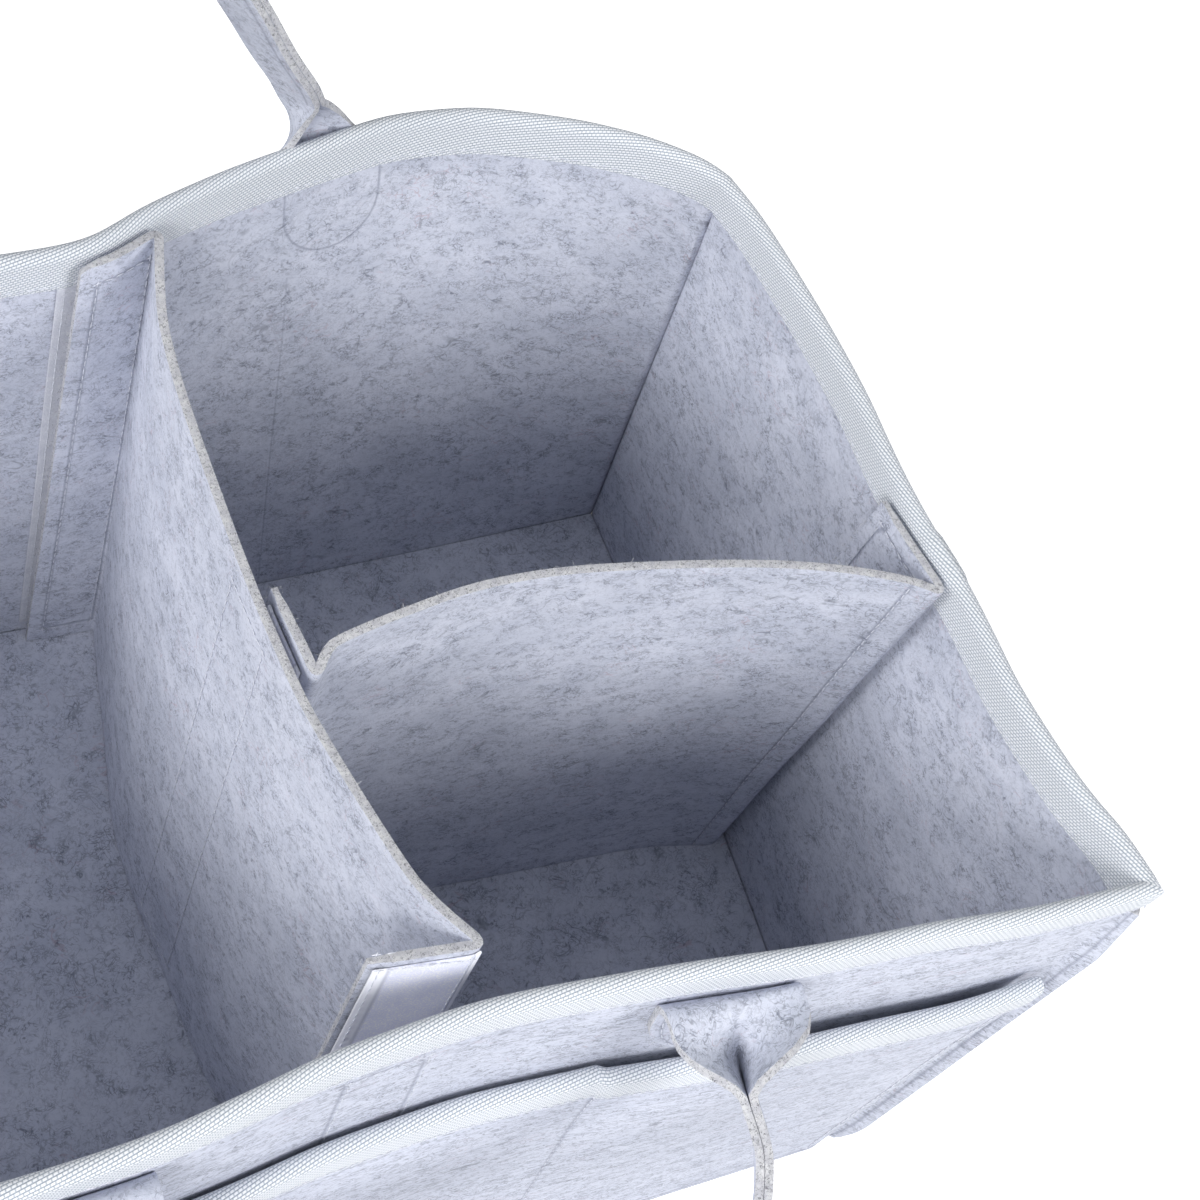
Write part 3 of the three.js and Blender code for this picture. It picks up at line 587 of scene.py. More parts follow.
for name, (axis, low, high) in strip_centers.items():
    wall = walls[name]

    def edges_at(height, wall=wall, axis=axis, low=low, high=high):
        """Where the strip begins and ends along the wall at a height."""
        middle = low + (high - low) * (height - STRIP_FOOT) / (STRIP_HEAD - STRIP_FOOT)
        values = [middle - STRIP_WIDTH / 2, middle + STRIP_WIDTH / 2]
        return sorted(where_on(wall, axis, values, height, -FELT / 2))

    node = name.replace("right_", "") + "_loop_strip"
    heights = np.linspace(STRIP_FOOT, STRIP_HEAD, 46)
    tape = strip_piece(node + "_tape", loop_tape, wall, heights, edges_at, -1)
    dress(tape, "caddy_body", "loop_tape", node)
    heights = np.linspace(STRIP_SEAM_FOOT, STRIP_SEAM_HEAD, 60)
    edges = [edges_at(height) for height in heights]
    for face in (-FELT / 2 - STRIP_GAP - STRIP - 0.1, FELT / 2 + 0.05):
        for side in (STITCH_MARGIN, 1 - STITCH_MARGIN):
            sew("caddy_body", [on_sheet(wall, first + (last - first) * side, height, face)[0]
                               for height, (first, last) in zip(heights, edges)])
        for height, (first, last) in ((heights[0], edges[0]), (heights[-1], edges[-1])):
            margin = STITCH_MARGIN * (last - first)
            sew("caddy_body", on_sheet(wall, np.linspace(first + margin, last - margin, 9), height, face))

# Outside pockets. One felt panel lies along each long wall, sewn down at its ends, its foot and
# at two seams that part it into three bays. It stands open a little between the seams.

POCKET_OPENINGS = (1.0, 1.2, 3.4)
POCKET_INSET = 9.0 / (2 * HALF_LENGTH)
POCKET_SEAM_INSET = 0.012
POCKET_GAP = 0.35
OPENS_FROM = 100.0
OPENS_RISE = 30.0
BINDING = 0.9
TAPE_FOOT = 127.0
LONG_WALLS = (("front", front), ("back", back))


def pocket_out(name, along, height):
    """Distance of a pocket's middle from the wall's middle."""
    bay = np.interp(along, (0.0, *POCKET_SEAMS[name + "_wall"], 1.0), range(BAYS + 1))
    pinched = 0.5 * (1 - np.clip((height - OPENS_FROM) / OPENS_RISE, 0, 1))
    seam_gap = (0.5 - pinched) * np.sin(np.pi * np.clip(along, 0, 1))
    billow = seam_gap + (1 - seam_gap) * np.sqrt(np.abs(np.sin(np.pi * bay)))
    rise = min(1.0, height / TAPE_FOOT) ** 2
    opening = np.array(POCKET_OPENINGS)[np.clip(np.floor(bay).astype(int), 0, BAYS - 1)]
    return FELT + POCKET_GAP + rise * (BINDING + 0.3 + opening * billow)


pocket_shares = np.linspace(POCKET_INSET, 1 - POCKET_INSET, 109)
for name, wall in LONG_WALLS:
    ends = [POCKET_INSET + POCKET_SEAM_INSET, 1 - POCKET_INSET - POCKET_SEAM_INSET]
    marks = [ends[0], *POCKET_SEAMS[name + "_wall"], ends[1]]
    rows, seams = [], []
    for height in np.linspace(0.4, POCKET_HEIGHT, 44):
        rows.append(on_sheet(wall, pocket_shares, height, pocket_out(name, pocket_shares, height)))
        lines = [(pocket_shares - mark) * 2 * HALF_LENGTH for mark in marks]
        seams.append(nearest(*lines, np.full(109, height - 4.0)))
    grid = np.array(rows).transpose(1, 0, 2)
    panel = felt_piece(name + "_pocket_panel_felt", grid[:, ::-1], seam=np.array(seams).T[:, ::-1],
                       felt=calendered_felt)
    dress(panel, "caddy_body", "felt", name + "_pocket_panel")
    for mark in marks:
        sew("caddy_body", [on_sheet(wall, mark, h, pocket_out(name, mark, h) + FELT / 2 + 0.1)[0]
                           for h in np.linspace(4, TAPE_FOOT - 1, 70)])
    fray("caddy_body", grid[0, :-8])
    fray("caddy_body", grid[-1, :-8])

# Binding. A woven twill tape folded over the rim in one run, mitred at the corners, and a
# second tape over the top of each pocket. Each is sewn through near its lower edges.

RIM_INSIDE = 12.0
RIM_OUTSIDE = 9.0
POCKET_REACH = 10.0
SHARP_TURN = 1.8
CORNER_CUT = 0.84
TAPE_GAP = 0.2
TAPE_FACE = FELT / 2 + TAPE_GAP + BINDING + 0.02
ROW = 0.95
FLOAT_STEP = 1.25
SLANT = 0.22

# Woven polyester twill binding: ribs about 1 mm apart that run at a slant along the tape, each a
# row of floats 1.25 mm long. It is smoother than felt and gives a faint gloss on each float. The
# gaps between the floats are greyer with painted shade.
twill_binding, tree, shader, place = new_material("woven_twill_binding", 0.5, sheen=0.35)
along, across, _ = map_axes(tree, "tape")
rows = maths(tree, "DIVIDE", maths(tree, "ADD", across, times(tree, along, SLANT)), ROW)
row = maths(tree, "FLOOR", rows)
step = maths(tree, "ADD", maths(tree, "DIVIDE", along, FLOAT_STEP), times(tree, row, 0.43))
over, beside = (away_from(tree, maths(tree, "FRACT", value)) for value in (step, rows))
yarn = times(tree, ramp(tree, over, 0.5, 0.3, 0.3, 1.0), ramp(tree, beside, 0.49, 0.26))
uneven = noise(tree, place, 420.0, 3.0, 0.6)
# The grey #8f9cad of the gaps is painted shade between the floats; the floats take the pale yarn colour.
color = tinted(tree, "#8f9cad", (yarn, "#f9fbff"), (ramp(tree, uneven, 0.4, 0.75, 0.0, 0.2), "#dfe5ee"))
surface(tree, shader, color, yarn, 0.7, 0.0003)


def tape_profile(top, inside, outside):
    """Closed section of a folded tape, first its outer side, then its inner one: how far out and
    how high each point lies, and how far across the tape."""
    arc = np.linspace(0, np.pi, 11)
    sections = []
    for reach, crown in ((FELT / 2 + TAPE_GAP + BINDING, top + 0.25 + BINDING),
                         (FELT / 2 + TAPE_GAP, top + 0.25)):
        shoulder = crown - reach
        out = np.concatenate([np.full(5, -reach), -reach * np.cos(arc), np.full(4, reach)])
        rise = np.concatenate([
            np.linspace(top - inside, shoulder - 0.8, 5), shoulder + reach * np.sin(arc),
            np.linspace(shoulder - 0.8, top - outside, 4)])
        if not sections:
            out[[0, -1]] -= np.sign(out[[0, -1]]) * 0.25
            run = length_along(np.stack([out, rise], axis=1))
        sections.append((out, rise))
    (out, rise), (inner_out, inner_rise) = sections
    return (np.concatenate([out, inner_out[::-1]]), np.concatenate([rise, inner_rise[::-1]]),
            np.concatenate([run, run[::-1]]))


def tape_piece(name, grid, gone, run, ring):
    """A tape swept through its sections: grid[station, place in the section]."""
    stations, size = grid.shape[:2]
    last = stations - 1
    faces, maps = [], []
    for i in range(last):
        n = 0 if ring and i == last - 1 else i + 1
        for k in range(size):
            m = (k + 1) % size
            faces.append((i * size + k, i * size + m, n * size + m, n * size + k))
            maps += [(gone[i], run[k]), (gone[i], run[m]), (gone[i + 1], run[m]), (gone[i + 1], run[k])]
    if not ring:
        half = size // 2
        for at, turn in ((0, 1), (last, -1)):
            for k in range(half - 1):
                corner = [(at * size + j, run[j]) for j in (k, size - 1 - k, size - 2 - k, k + 1)][::turn]
                faces.append(tuple(c[0] for c in corner))
                maps += [(gone[at] + 0.3, c[1]) for c in corner]
    points = grid[:last] if ring else grid
    piece = new_piece(name, points.reshape(-1, 3), faces, (twill_binding,))
    set_map(piece, "tape", maps)
    return bake(piece)


def round_the_rim(height):
    """The closed plan line of all four walls at one height."""
    lines = [part_of(plan_line(wall, height), 0, 0, 97 if "end" in name else 141)[:-1]
             for name, wall in walls.items()]
    return np.vstack(lines)


def offset_ring(ring, out):
    """Moves a closed line to its right, mitred, with its outer corners kept short."""
    ahead = unit(np.roll(ring, -1, axis=0) - ring)
    side = np.stack([ahead[:, 1], -ahead[:, 0]], axis=1)
    before = np.roll(side, 1, axis=0)
    turn = 1 + (side * before).sum(axis=1)
    reach = out / turn
    reach = np.where((turn < SHARP_TURN) & (reach > 0), reach * CORNER_CUT, reach)
    return ring + (side + before) * reach[:, None]


LAP_AT = 500.0
LAP = 14.0
LAP_LIFT = 0.45
LAP_SWELL = 1.3
out, rise, run = tape_profile(WALL_HEIGHT, RIM_INSIDE, RIM_OUTSIDE)
rng = np.random.default_rng(21)
ring = round_the_rim(WALL_HEIGHT)
gone = length_along(np.vstack([ring, ring[:1]]))
loose = np.tile(rng.normal(0, 1, len(ring)), 3)
loose = np.convolve(loose, np.hanning(9) / 4, "same")[len(ring):2 * len(ring)]
lapped = LAP_LIFT * ((gone[:-1] > LAP_AT) & (gone[:-1] < LAP_AT + LAP))
rows = []
for reach, z, across in zip(out, rise, run):
    lip = min(across, run.max() - across) < 1.0
    line = round_the_rim(min(z, WALL_HEIGHT))
    plan = offset_ring(line, reach)
    outer = abs(reach) > FELT / 2 + 0.5 or z > WALL_HEIGHT + 0.8
    plan = plan + (offset_ring(line, reach * LAP_SWELL) - plan) * (lapped * outer)[:, None]
    lift = loose * (0.13 if lip else 0.05) + lapped * (outer and z > WALL_HEIGHT - 3)
    rows.append(np.column_stack([plan, z + lift]))
grid = np.array(rows).transpose(1, 0, 2)
rim_tape = tape_piece("rim_binding_tape", np.vstack([grid, grid[:1]]), gone, run, True)
dress(rim_tape, "caddy_body", "twill_tape", "rim_binding")
for face, level in ((-1, WALL_HEIGHT - RIM_INSIDE + 1.6), (1, WALL_HEIGHT - RIM_OUTSIDE + 1.6)):
    plan = offset_ring(round_the_rim(level), face * TAPE_FACE)
    sew("caddy_body", np.column_stack([plan, np.full(len(plan), level)]))

out, rise, run = tape_profile(POCKET_HEIGHT, POCKET_REACH, POCKET_REACH)
for name, wall in LONG_WALLS:
    shares = np.linspace(POCKET_INSET, 1 - POCKET_INSET, 171)
    rows = [on_sheet(wall, shares, z, pocket_out(name, shares, min(z, POCKET_HEIGHT)) + reach)
            for reach, z in zip(out, rise)]
    grid = np.array(rows).transpose(1, 0, 2)
    tape = tape_piece(name + "_pocket_binding_tape", grid, length_along(grid[:, 10]), run, False)
    dress(tape, "caddy_body", "twill_tape", name + "_pocket_binding")
    level = POCKET_HEIGHT - POCKET_REACH + 1.4
    sew("caddy_body", on_sheet(wall, shares, level, pocket_out(name, shares, level) + TAPE_FACE))

# Carrying handles. Each is one felt strap: its round ends, the tongues, are sewn flat to the
# outside of the wall under the rim binding, it folds over there, and past the fold it is
# doubled lengthwise with its raw edges together and stitched. The front one hangs outward.

STRAP_HALF_WIDTH = 18.6
CREASE_RADIUS = 1.15
HINGE_HEIGHT = 170.0
HINGE_OUT = 5.4
TONGUE_OUT = 2.7
FOLD_GAP = 2.0
LOOP_HEIGHT = 90.0
STRAP_STEP = 2.6
PRESSED = 0.72
BULGE = 0.03
FLARE = 0.94
RIPPLE = 0.05
FRONT_SETBACK = 6.0
BACK_SETBACK = 5.0
SETBACK_REACH = 34.0
TURN_REACH = 60.0
front_loop = [(1, 0), (1, 0.2), (1.02, 0.42), (0.94, 0.66), (0.72, 0.86), (0.38, 0.97), (0, 1)]
back_loop = [
    (1, 0), (0.975, 0.12), (0.87, 0.29), (0.765, 0.44), (0.66, 0.61), (0.535, 0.78), (0.33, 0.94), (0, 1),
]
strap_across = np.linspace(-1, 1, 25)
strap_reach = np.abs(strap_across) * STRAP_HALF_WIDTH


def strap_section(fold, turn, width=1.0):
    """A strap's section, half on each side of its crease, doubled up by fold and then turned."""
    lift = fold * math.pi / 2
    reach = strap_reach * width
    turned = np.minimum(reach / CREASE_RADIUS, max(lift, 1e-6))
    arm = np.maximum(reach - CREASE_RADIUS * lift, 0) * (turned >= lift - 1e-9)
    x = np.sign(strap_across) * (CREASE_RADIUS * np.sin(turned) + arm * math.cos(lift))
    y = CREASE_RADIUS * (1 - np.cos(turned)) + arm * math.sin(lift)
    return x * math.cos(turn) + y * math.sin(turn), y * math.cos(turn) - x * math.sin(turn)


def tongue_rows(wall, x, flip, heights):
    """Rows of points across a tongue on the wall, round at its foot and a strap wide above."""
    rows = []
    for height in heights:
        middle = TONGUE_FOOT + TONGUE_HALF_WIDTH
        drop = max(0.0, middle - height) / TONGUE_HALF_WIDTH
        half = TONGUE_HALF_WIDTH * math.sqrt(max(0.0, 1 - drop * drop))
        half += (STRAP_HALF_WIDTH - TONGUE_HALF_WIDTH) * np.clip((height - middle) / 9, 0, 1)
        shares = where_on(wall, 0, x + flip * strap_across * half, height, TONGUE_OUT)
        rows.append(on_sheet(wall, shares, height, TONGUE_OUT))
    return rows


def front_fold(t, from_foot, rest_turn):
    """The front strap's doubling, turn, width and setback where it is t of the way to folded."""
    fold = t * t * (3 - 2 * t)
    return fold, rest_turn, 1.0, FRONT_SETBACK * math.sin(fold * math.pi / 2)


def back_fold(t, from_foot, rest_turn):
    """The same for the back strap, which closes like a book and bends forward near its foot."""
    flat = FLARE * (1 - t)
    turn = rest_turn * (0.3 + 0.7 * np.clip(from_foot / TURN_REACH, 0, 1))
    setback = BACK_SETBACK * math.sin(math.pi * max(0.0, 1 - from_foot / SETBACK_REACH)) ** 2
    return math.atan2(t, flat) * 2 / math.pi, turn, math.hypot(t, flat), setback


def handle_piece(name, wall, center, half_span, loop, rest, rest_turn, folding, hang, fold_at):
    """A strap from tongue to tongue, blended over its hinge.

    rest is its lean from upright, folding the length over which it doubles up and hang how
    strongly it keeps its direction at the hinge. fold_at gives the lean of the direction across
    the fold and two reaches before and after the hinge; it is not used."""
    outward = -1.0 if wall is front else 1.0
    feet = [on_sheet(wall, where_on(wall, 0, center + side * half_span, HINGE_HEIGHT, HINGE_OUT),
                     HINGE_HEIGHT, HINGE_OUT)[0] for side in (-1, 1)]
    axis = unit(feet[1] - feet[0])
    middle, half = (feet[0] + feet[1]) / 2, np.linalg.norm(feet[1] - feet[0]) / 2
    level = np.cross([0, 0, 1], axis) * -outward
    upright = np.array([0, 0, math.cos(rest)]) - level * math.sin(rest)
    inward = np.cross(upright, axis) * -outward
    side = [(a * half, FOLD_GAP + b * (LOOP_HEIGHT - FOLD_GAP)) for a, b in loop]
    far = [(-(a + BULGE * math.sin(math.pi * b)) * half, y) for (a, b), (x, y) in zip(loop, side)]
    path = smooth_line(side + far[-2::-1])
    length = length_along(path)[-1]
    steps = int(length / STRAP_STEP)
    path = part_of(path, 0, 0, steps + 1)
    ahead = unit(np.gradient(path, axis=0))
    strap = []
    for k in range(steps + 1):
        from_foot = min(k, steps - k) / steps * length
        folds = front_fold if wall is front else back_fold
        fold, turn, width, setback = folds(np.clip(from_foot / folding, 0, 1), from_foot, rest_turn)
        x, y = strap_section(fold, turn * fold + RIPPLE * math.sin(k * 0.21) * fold, width)
        origin = middle + axis * path[k, 0] + upright * path[k, 1] - inward * setback
        across = axis * ahead[k, 1] - upright * ahead[k, 0]
        strap.append(origin + across * x[:, None] + inward * y[:, None])
    heights = TONGUE_FOOT + TONGUE_HALF_WIDTH * (1 - np.cos(np.linspace(np.pi / 12, np.pi / 2, 9)))
    heights = np.concatenate([heights, np.linspace(heights[-1], TONGUE_TOP - 2.0, 5)[1:]])
    ends = []
    for foot, flip, strap_end, next_end in ((1, 1.0, strap[0], strap[1]), (0, -1.0, strap[-1], strap[-2])):
        rows = tongue_rows(wall, tongue_centers[name + "_wall"][foot], flip, heights)
        start, leave = rows[-1], unit(rows[-1] - rows[-2])
        arrive = unit(next_end - strap_end)
        size = np.linalg.norm(strap_end - start, axis=1)[:, None] * hang
        for t in np.linspace(0, 1, 10)[1:-1]:
            rows.append(start * (2 * t**3 - 3 * t**2 + 1) + leave * size * (t**3 - 2 * t**2 + t)
                        + strap_end * (3 * t**2 - 2 * t**3) + arrive * size * (t**3 - t**2))
        ends.append(rows)
    grid = np.array(ends[0] + strap + ends[1][::-1]).transpose(1, 0, 2)
    seam = np.broadcast_to((strap_reach - STRAP_HALF_WIDTH + STITCH_INSET)[:, None], grid.shape[:2]).copy()
    for flap in (slice(len(ends[0]) - 8, len(ends[0]) + 9), slice(-len(ends[1]) - 9, 8 - len(ends[1]))):
        seam[:, flap] = NO_SEAM
    press = np.full(grid.shape[:2], PRESSED)
    made = felt_piece(name + "_handle_felt", grid[::-1] if outward > 0 else grid, seam=seam, press=press)
    lean, before, after = fold_at
    across_fold = np.array([0, 0, math.cos(lean)]) - level * math.sin(lean)
    start, end = middle - across_fold * before, middle + across_fold * after
    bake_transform(made)
    nodes = [name + "_handle", name + "_left_handle_tongue", name + "_right_handle_tongue"]
    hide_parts(*nodes)
    return grid, ends


for name, wall, outward, *shape in (
    ("front", front, -1, 2.7, 82.2, front_loop, math.radians(118), math.radians(-24), 19.0, 1.1,
     (math.radians(62), 1.8, 2.4)),
    ("back", back, 1, -12.5, 65.5, back_loop, math.radians(20), math.radians(20), 22.0, 0.8,
     (0.0, 2.4, 3.0)),
):
    grid, ends = handle_piece(name, wall, *shape)
    inset = STRAP_HALF_WIDTH - STITCH_INSET
    face = np.array([0, outward * (FELT / 2 * PRESSED + 0.1), 0])
    for flap in ends:
        for side in (1, -1):
            at = int(round((side * inset / STRAP_HALF_WIDTH + 1) * 12))
            sew("caddy_body", [row[at] + face for row in flap[3:13]])
    for edge in (grid[0], grid[24]):
        fray(name + "_carrying_handle", edge[30:-30])
        fray("caddy_body", edge[:14])
        fray("caddy_body", edge[-14:])

# Cross divider. A loose felt sheet that runs in a bow from the back wall to the front wall. Its
# ends fold into tabs with strips of hook tape, which press on the loop strips of the walls, and
# a loop strip on its right face takes the small divider. It lifts straight out.

DIVIDER_FOOT = 3.3
DIVIDER_TOP = 179.0
DIVIDER_PRESS = 0.88
EDGE_PRESS = 0.6
TAB_OUT = -6.0
TAB_EDGE = 3.4
FOLD_CUT = 3.6
CROSS_SAG = 17.0
MIDDLE_ROW = 26
cross_floor = [
    (0, 0), (0.07, 0.21), (0.155, 0.44), (0.274, 0.78), (0.346, 0.95), (0.45, 1), (0.557, 0.94),
    (0.7, 0.88), (0.754, 0.8), (0.88, 0.46), (1, 0),
]
cross_top = [
    (0, 0), (0.088, 0.4), (0.153, 0.62), (0.264, 0.8), (0.466, 0.965), (0.592, 1), (0.697, 0.95),
    (0.87, 0.64), (0.934, 0.42), (1, 0),
]
divider_heights = np.linspace(DIVIDER_FOOT, DIVIDER_TOP, 53)


def fold(before, after):
    """A rounded fold from the end of one line to the start of the next."""
    first, last = part_of(before, 0, -FOLD_CUT, 2)[-1], part_of(after, FOLD_CUT, 0, 2)[0]
    t = np.linspace(0, 1, 7)[1:-1, None]
    return first * (1 - t) ** 2 + before[-1] * 2 * t * (1 - t) + last * t**2


def folded(first_tab, panel, last_tab):
    """First tab, fold, panel, fold and last tab as one line with the same count at every height."""
    return np.vstack([
        part_of(first_tab, 0, -FOLD_CUT, 9), fold(first_tab, panel), part_of(panel, FOLD_CUT, -FOLD_CUT, 81),
        fold(panel, last_tab), part_of(last_tab, FOLD_CUT, 0, 9)])


def bent(start, end, share, low, high):
    """A divider's panel at one height, between its shape at the floor and its shape at the top."""
    return (1 - share) * bowed_edge(start, end, *low, 161) + share * bowed_edge(start, end, *high, 161)


def tab_on(sheet, axis, first, last, height, within=(0.0, 1.0)):
    """The plan line of a tab that lies along a sheet, between two x or two y values."""
    shares = where_on(sheet, axis, np.linspace(first, last, 25), height, TAB_OUT, within)
    return on_sheet(sheet, shares, height, TAB_OUT)[:, :2]


def divider_sheet(shape_at):
    """A divider from a function that gives its plan line at a height and the share of the rise."""
    lines = [shape_at(height, (height - DIVIDER_FOOT) / (DIVIDER_TOP - DIVIDER_FOOT))
             for height in divider_heights]
    return {"heights": divider_heights, "lines": np.array(lines)}


def cross_shape(height, share):
    """The cross divider bows to its right between the back wall and the front wall."""
    fold_x = -18.9 + 19.5 * share
    front_fold = np.array([-3.0, -106.0]) * (1 - share) + np.array([25.2, -81.2]) * share
    back_tab = tab_on(back, 0, fold_x - 24.0, fold_x, height)
    panel = bent(back_tab[-1], front_fold, share, (CROSS_SAG, cross_floor), (CROSS_SAG, cross_top))
    front_tab = np.linspace(front_fold, front_fold + np.array([-28.0, 4.0]), 25)
    return folded(back_tab, panel, front_tab)


def divider_piece(name, sheet, reach, slants, strips, extra=()):
    """A divider's felt. slants draw in the top of a tab, strips mark where tape is sewn on, and
    extra gives stitch lines by their distance along the middle row, as reach does."""
    lines, body = sheet["lines"], name + "_unit"
    grid = np.zeros((lines.shape[1], lines.shape[0], 3))
    grid[:, :, :2], grid[:, :, 2] = lines.transpose(1, 0, 2), sheet["heights"][None, :]
    top = np.zeros(len(reach))
    for start, end, drop in slants:
        top = np.maximum(top, drop * np.clip((reach - start) / (end - start), 0, 1))
    rise = (grid[:, :, 2] - DIVIDER_FOOT) / (DIVIDER_TOP - DIVIDER_FOOT)
    grid[:, :, 2] -= top[:, None] * rise**6
    seam = np.full(grid.shape[:2], NO_SEAM)
    for low, high in strips:
        along = reach[:, None] - (low + high) / 2
        seam = nearest(seam, box_distance(along, grid[:, :, 2], (high - low) / 2, 10.0, 172.0))
    for at in extra:
        seam = nearest(seam, np.broadcast_to((reach - at)[:, None], seam.shape))
    for edge in (grid[:, -1], grid[0], grid[-1]):
        fray(body, edge)
    press = np.full(grid.shape[:2], DIVIDER_PRESS)
    press[:2], press[-2:] = EDGE_PRESS, EDGE_PRESS
    felt = felt_piece(name + "_felt", grid[:, ::-1], seam=seam[:, ::-1], press=press)
    dress(felt, body, "felt", name)


def shares_at(reach, distances):
    """The shares along a divider at distances along its middle row."""
    return np.interp(distances, reach, np.linspace(0, 1, len(reach)))


def sew_up(body, sheet, share, foot, head, count, out):
    """One upright line of stitches on a face of a sheet."""
    sew(body, [on_sheet(sheet, share, height, out)[0] for height in np.linspace(foot, head, count)])


cross = divider_sheet(cross_shape)
cross_reach = length_along(cross["lines"][MIDDLE_ROW])
total = cross_reach[-1]
divider_piece(
    "cross_divider", cross, cross_reach, [(total - 24.0, total, 3.0), (3.0, 0.0, 2.0)],
    [(TAB_EDGE + 1.5, 22.0), (total - 24.5, total - TAB_EDGE - 1.5)])
loop_values = [8.5 - STRIP_WIDTH / 2, 8.5 + STRIP_WIDTH / 2]
loop_shares = where_on(cross, 1, loop_values, divider_heights[MIDDLE_ROW], 0, (0.12, 0.88))
loop_low, loop_high = np.interp(sorted(loop_shares), np.linspace(0, 1, len(cross_reach)), cross_reach)

# Woven nylon hook: a stiff tape with a field of tiny bristles, flecked white by their tips and
# by painted glints, and a smooth selvedge 3 mm wide along both sides, set off from the field by a
# line of painted shade. It is whiter than the felt, with a violet cast. The bristles curl over and
# catch light from above, so the shading leans upwards.
hook_tape, tree, shader, place = new_material("woven_nylon_hook_tape", 0.5, sheen=0.15)
border = away_from(tree, map_axes(tree, "tape")[0], STRIP_WIDTH / 2)
field = ramp(tree, border, 9.9, 8.7)
bristles = noise(tree, place, 2100.0, 3.0, 0.75, 0.4)
worn = noise(tree, place, 150.0, 3.0, 0.6)
# The white flecks are the bristle tips and, in part, painted glints.
color = tinted(tree, "#e8eafc", (ramp(tree, bristles, 0.5, 0.62), "#ffffff"),
               (ramp(tree, worn, 0.42, 0.7, 0.0, 0.3), "#ced2ee"))
# A thin dark line of painted shade where the bristle field meets the selvedge.
painted_border_shade = ramp(tree, away_from(tree, border, 9.3), 0.7, 0.1, 0.0, 0.4)
color = tinted(tree, "#f6f7ff", (field, color), (painted_border_shade, "#8488a0"))
bump = surface(tree, shader, color, times(tree, bristles, field), 0.5, 0.0004)
curl = add(tree, "ShaderNodeVectorMath", {0: bump, 1: (-0.3, -0.9, 1.3)}, operation="ADD")
curl = add(tree, "ShaderNodeVectorMath", {0: curl}, operation="NORMALIZE")
tree.links.new(curl, shader.inputs["Normal"])
tapes = {"hook_tape": hook_tape, "loop_tape": loop_tape}


def tab_strip(unit_name, part, slot, sheet, reach, low, high, side, head=174.0, slant=0.0):
    """A strip of tape sewn on a divider between two distances along its middle row."""
    name, body, foot = unit_name + part, unit_name + "_unit", DIVIDER_FOOT + 5.0
    ends = shares_at(reach, [low, high])
    heights = np.linspace(foot, head, 46)
    tape = strip_piece(name + "_tape", tapes[slot], sheet, heights, lambda height: ends, side, slant)
    dress(tape, body, slot, name)
    foot, head = foot + 1.5, head - 1.5
    ends = shares_at(reach, [low + 1.4, high - 1.4])
    for out in (side * (FELT / 2 + STRIP_GAP + STRIP + 0.1), -side * (FELT / 2 + 0.08)):
        for share in ends:
            sew_up(body, sheet, share, foot, head, 60, out)
        for height in (foot, head):
            sew(body, on_sheet(sheet, np.linspace(*ends, 9), height, out))


for part, slot, *rest in (
    ("_back_hook_strip", "hook_tape", cross, cross_reach, TAB_EDGE, 22.4, -1),
    ("_front_hook_strip", "hook_tape", cross, cross_reach, total - 26.6, total - 1.4, -1, 178.0, 3.6),
    ("_loop_strip", "loop_tape", cross, cross_reach, loop_low, loop_high, -1),
):
    tab_strip("cross_divider", part, slot, *rest)

# Small divider. A second loose felt sheet between the cross divider and the right end wall, with
# a tab and a strip of hook tape at each end. It is bowed a little, most at its top.

small_top = [
    (0, 0), (0.024, 0.33), (0.052, 0.47), (0.14, 0.69), (0.26, 0.925), (0.38, 1), (0.51, 0.95),
    (0.7, 0.78), (0.84, 0.55), (0.95, 0.25), (1, 0),
]
small_floor = [(0, 0), (0.25, 0.4), (0.5, 0.6), (0.68, 0.85), (0.85, 1), (1, 0)]
RIGHT_TAB = 33.0
TAB_SEAM = 7.0
left_top = tab_on(cross, 1, 25.5, -3.0, DIVIDER_TOP, (0.12, 0.88))


def small_shape(height, share):
    """The small divider's left tab moves in towards the floor; its right one lies on the end wall."""
    left_tab = left_top - np.array([11.0 * (1 - share), 0.0])
    right_tab = tab_on(right, 1, -17.0, 16.0, height)
    panel = bent(left_tab[-1], right_tab[0], share, (-3.4, small_floor), (-21.3, small_top))
    return folded(left_tab, panel, right_tab)


small = divider_sheet(small_shape)
small_reach = length_along(small["lines"][MIDDLE_ROW])
total = small_reach[-1]
right_fold = total - RIGHT_TAB
divider_piece(
    "small_divider", small, small_reach, [(total - 30.0, total, 2.5), (20.0, 0.0, 3.0)],
    [(TAB_EDGE + 1.5, 24.0), (right_fold + 5.0, total - TAB_EDGE - 1.5)], [right_fold - TAB_SEAM])
for face in (-1, 1):
    share = shares_at(small_reach, right_fold - TAB_SEAM)
    sew_up("small_divider_unit", small, share, 5, 176, 80, face * (FELT / 2 + 0.08))
for part, low, high in (("_left_hook_strip", TAB_EDGE, 24.4),
                        ("_right_hook_strip", right_fold + 4.6, total - TAB_EDGE)):
    tab_strip("small_divider", part, "hook_tape", small, small_reach, low, high, 1)

# Sewing thread. Spun polyester, white, in lock stitches about 3.2 mm long that sink into the
# felt a little. One mesh of stitches for each body.

STITCH_PITCH = 3.2
STITCH_LENGTH = 2.7
THREAD = 0.42

spun_thread, tree, shader, place = new_material("spun_polyester_thread", 0.6, sheen=0.2)
ply = ramp(tree, noise(tree, place, 2600.0), 0.35, 0.65)
tree.links.new(tinted(tree, "#c9ccd8", (ply, "#eceef6")), shader.inputs["Base Color"])


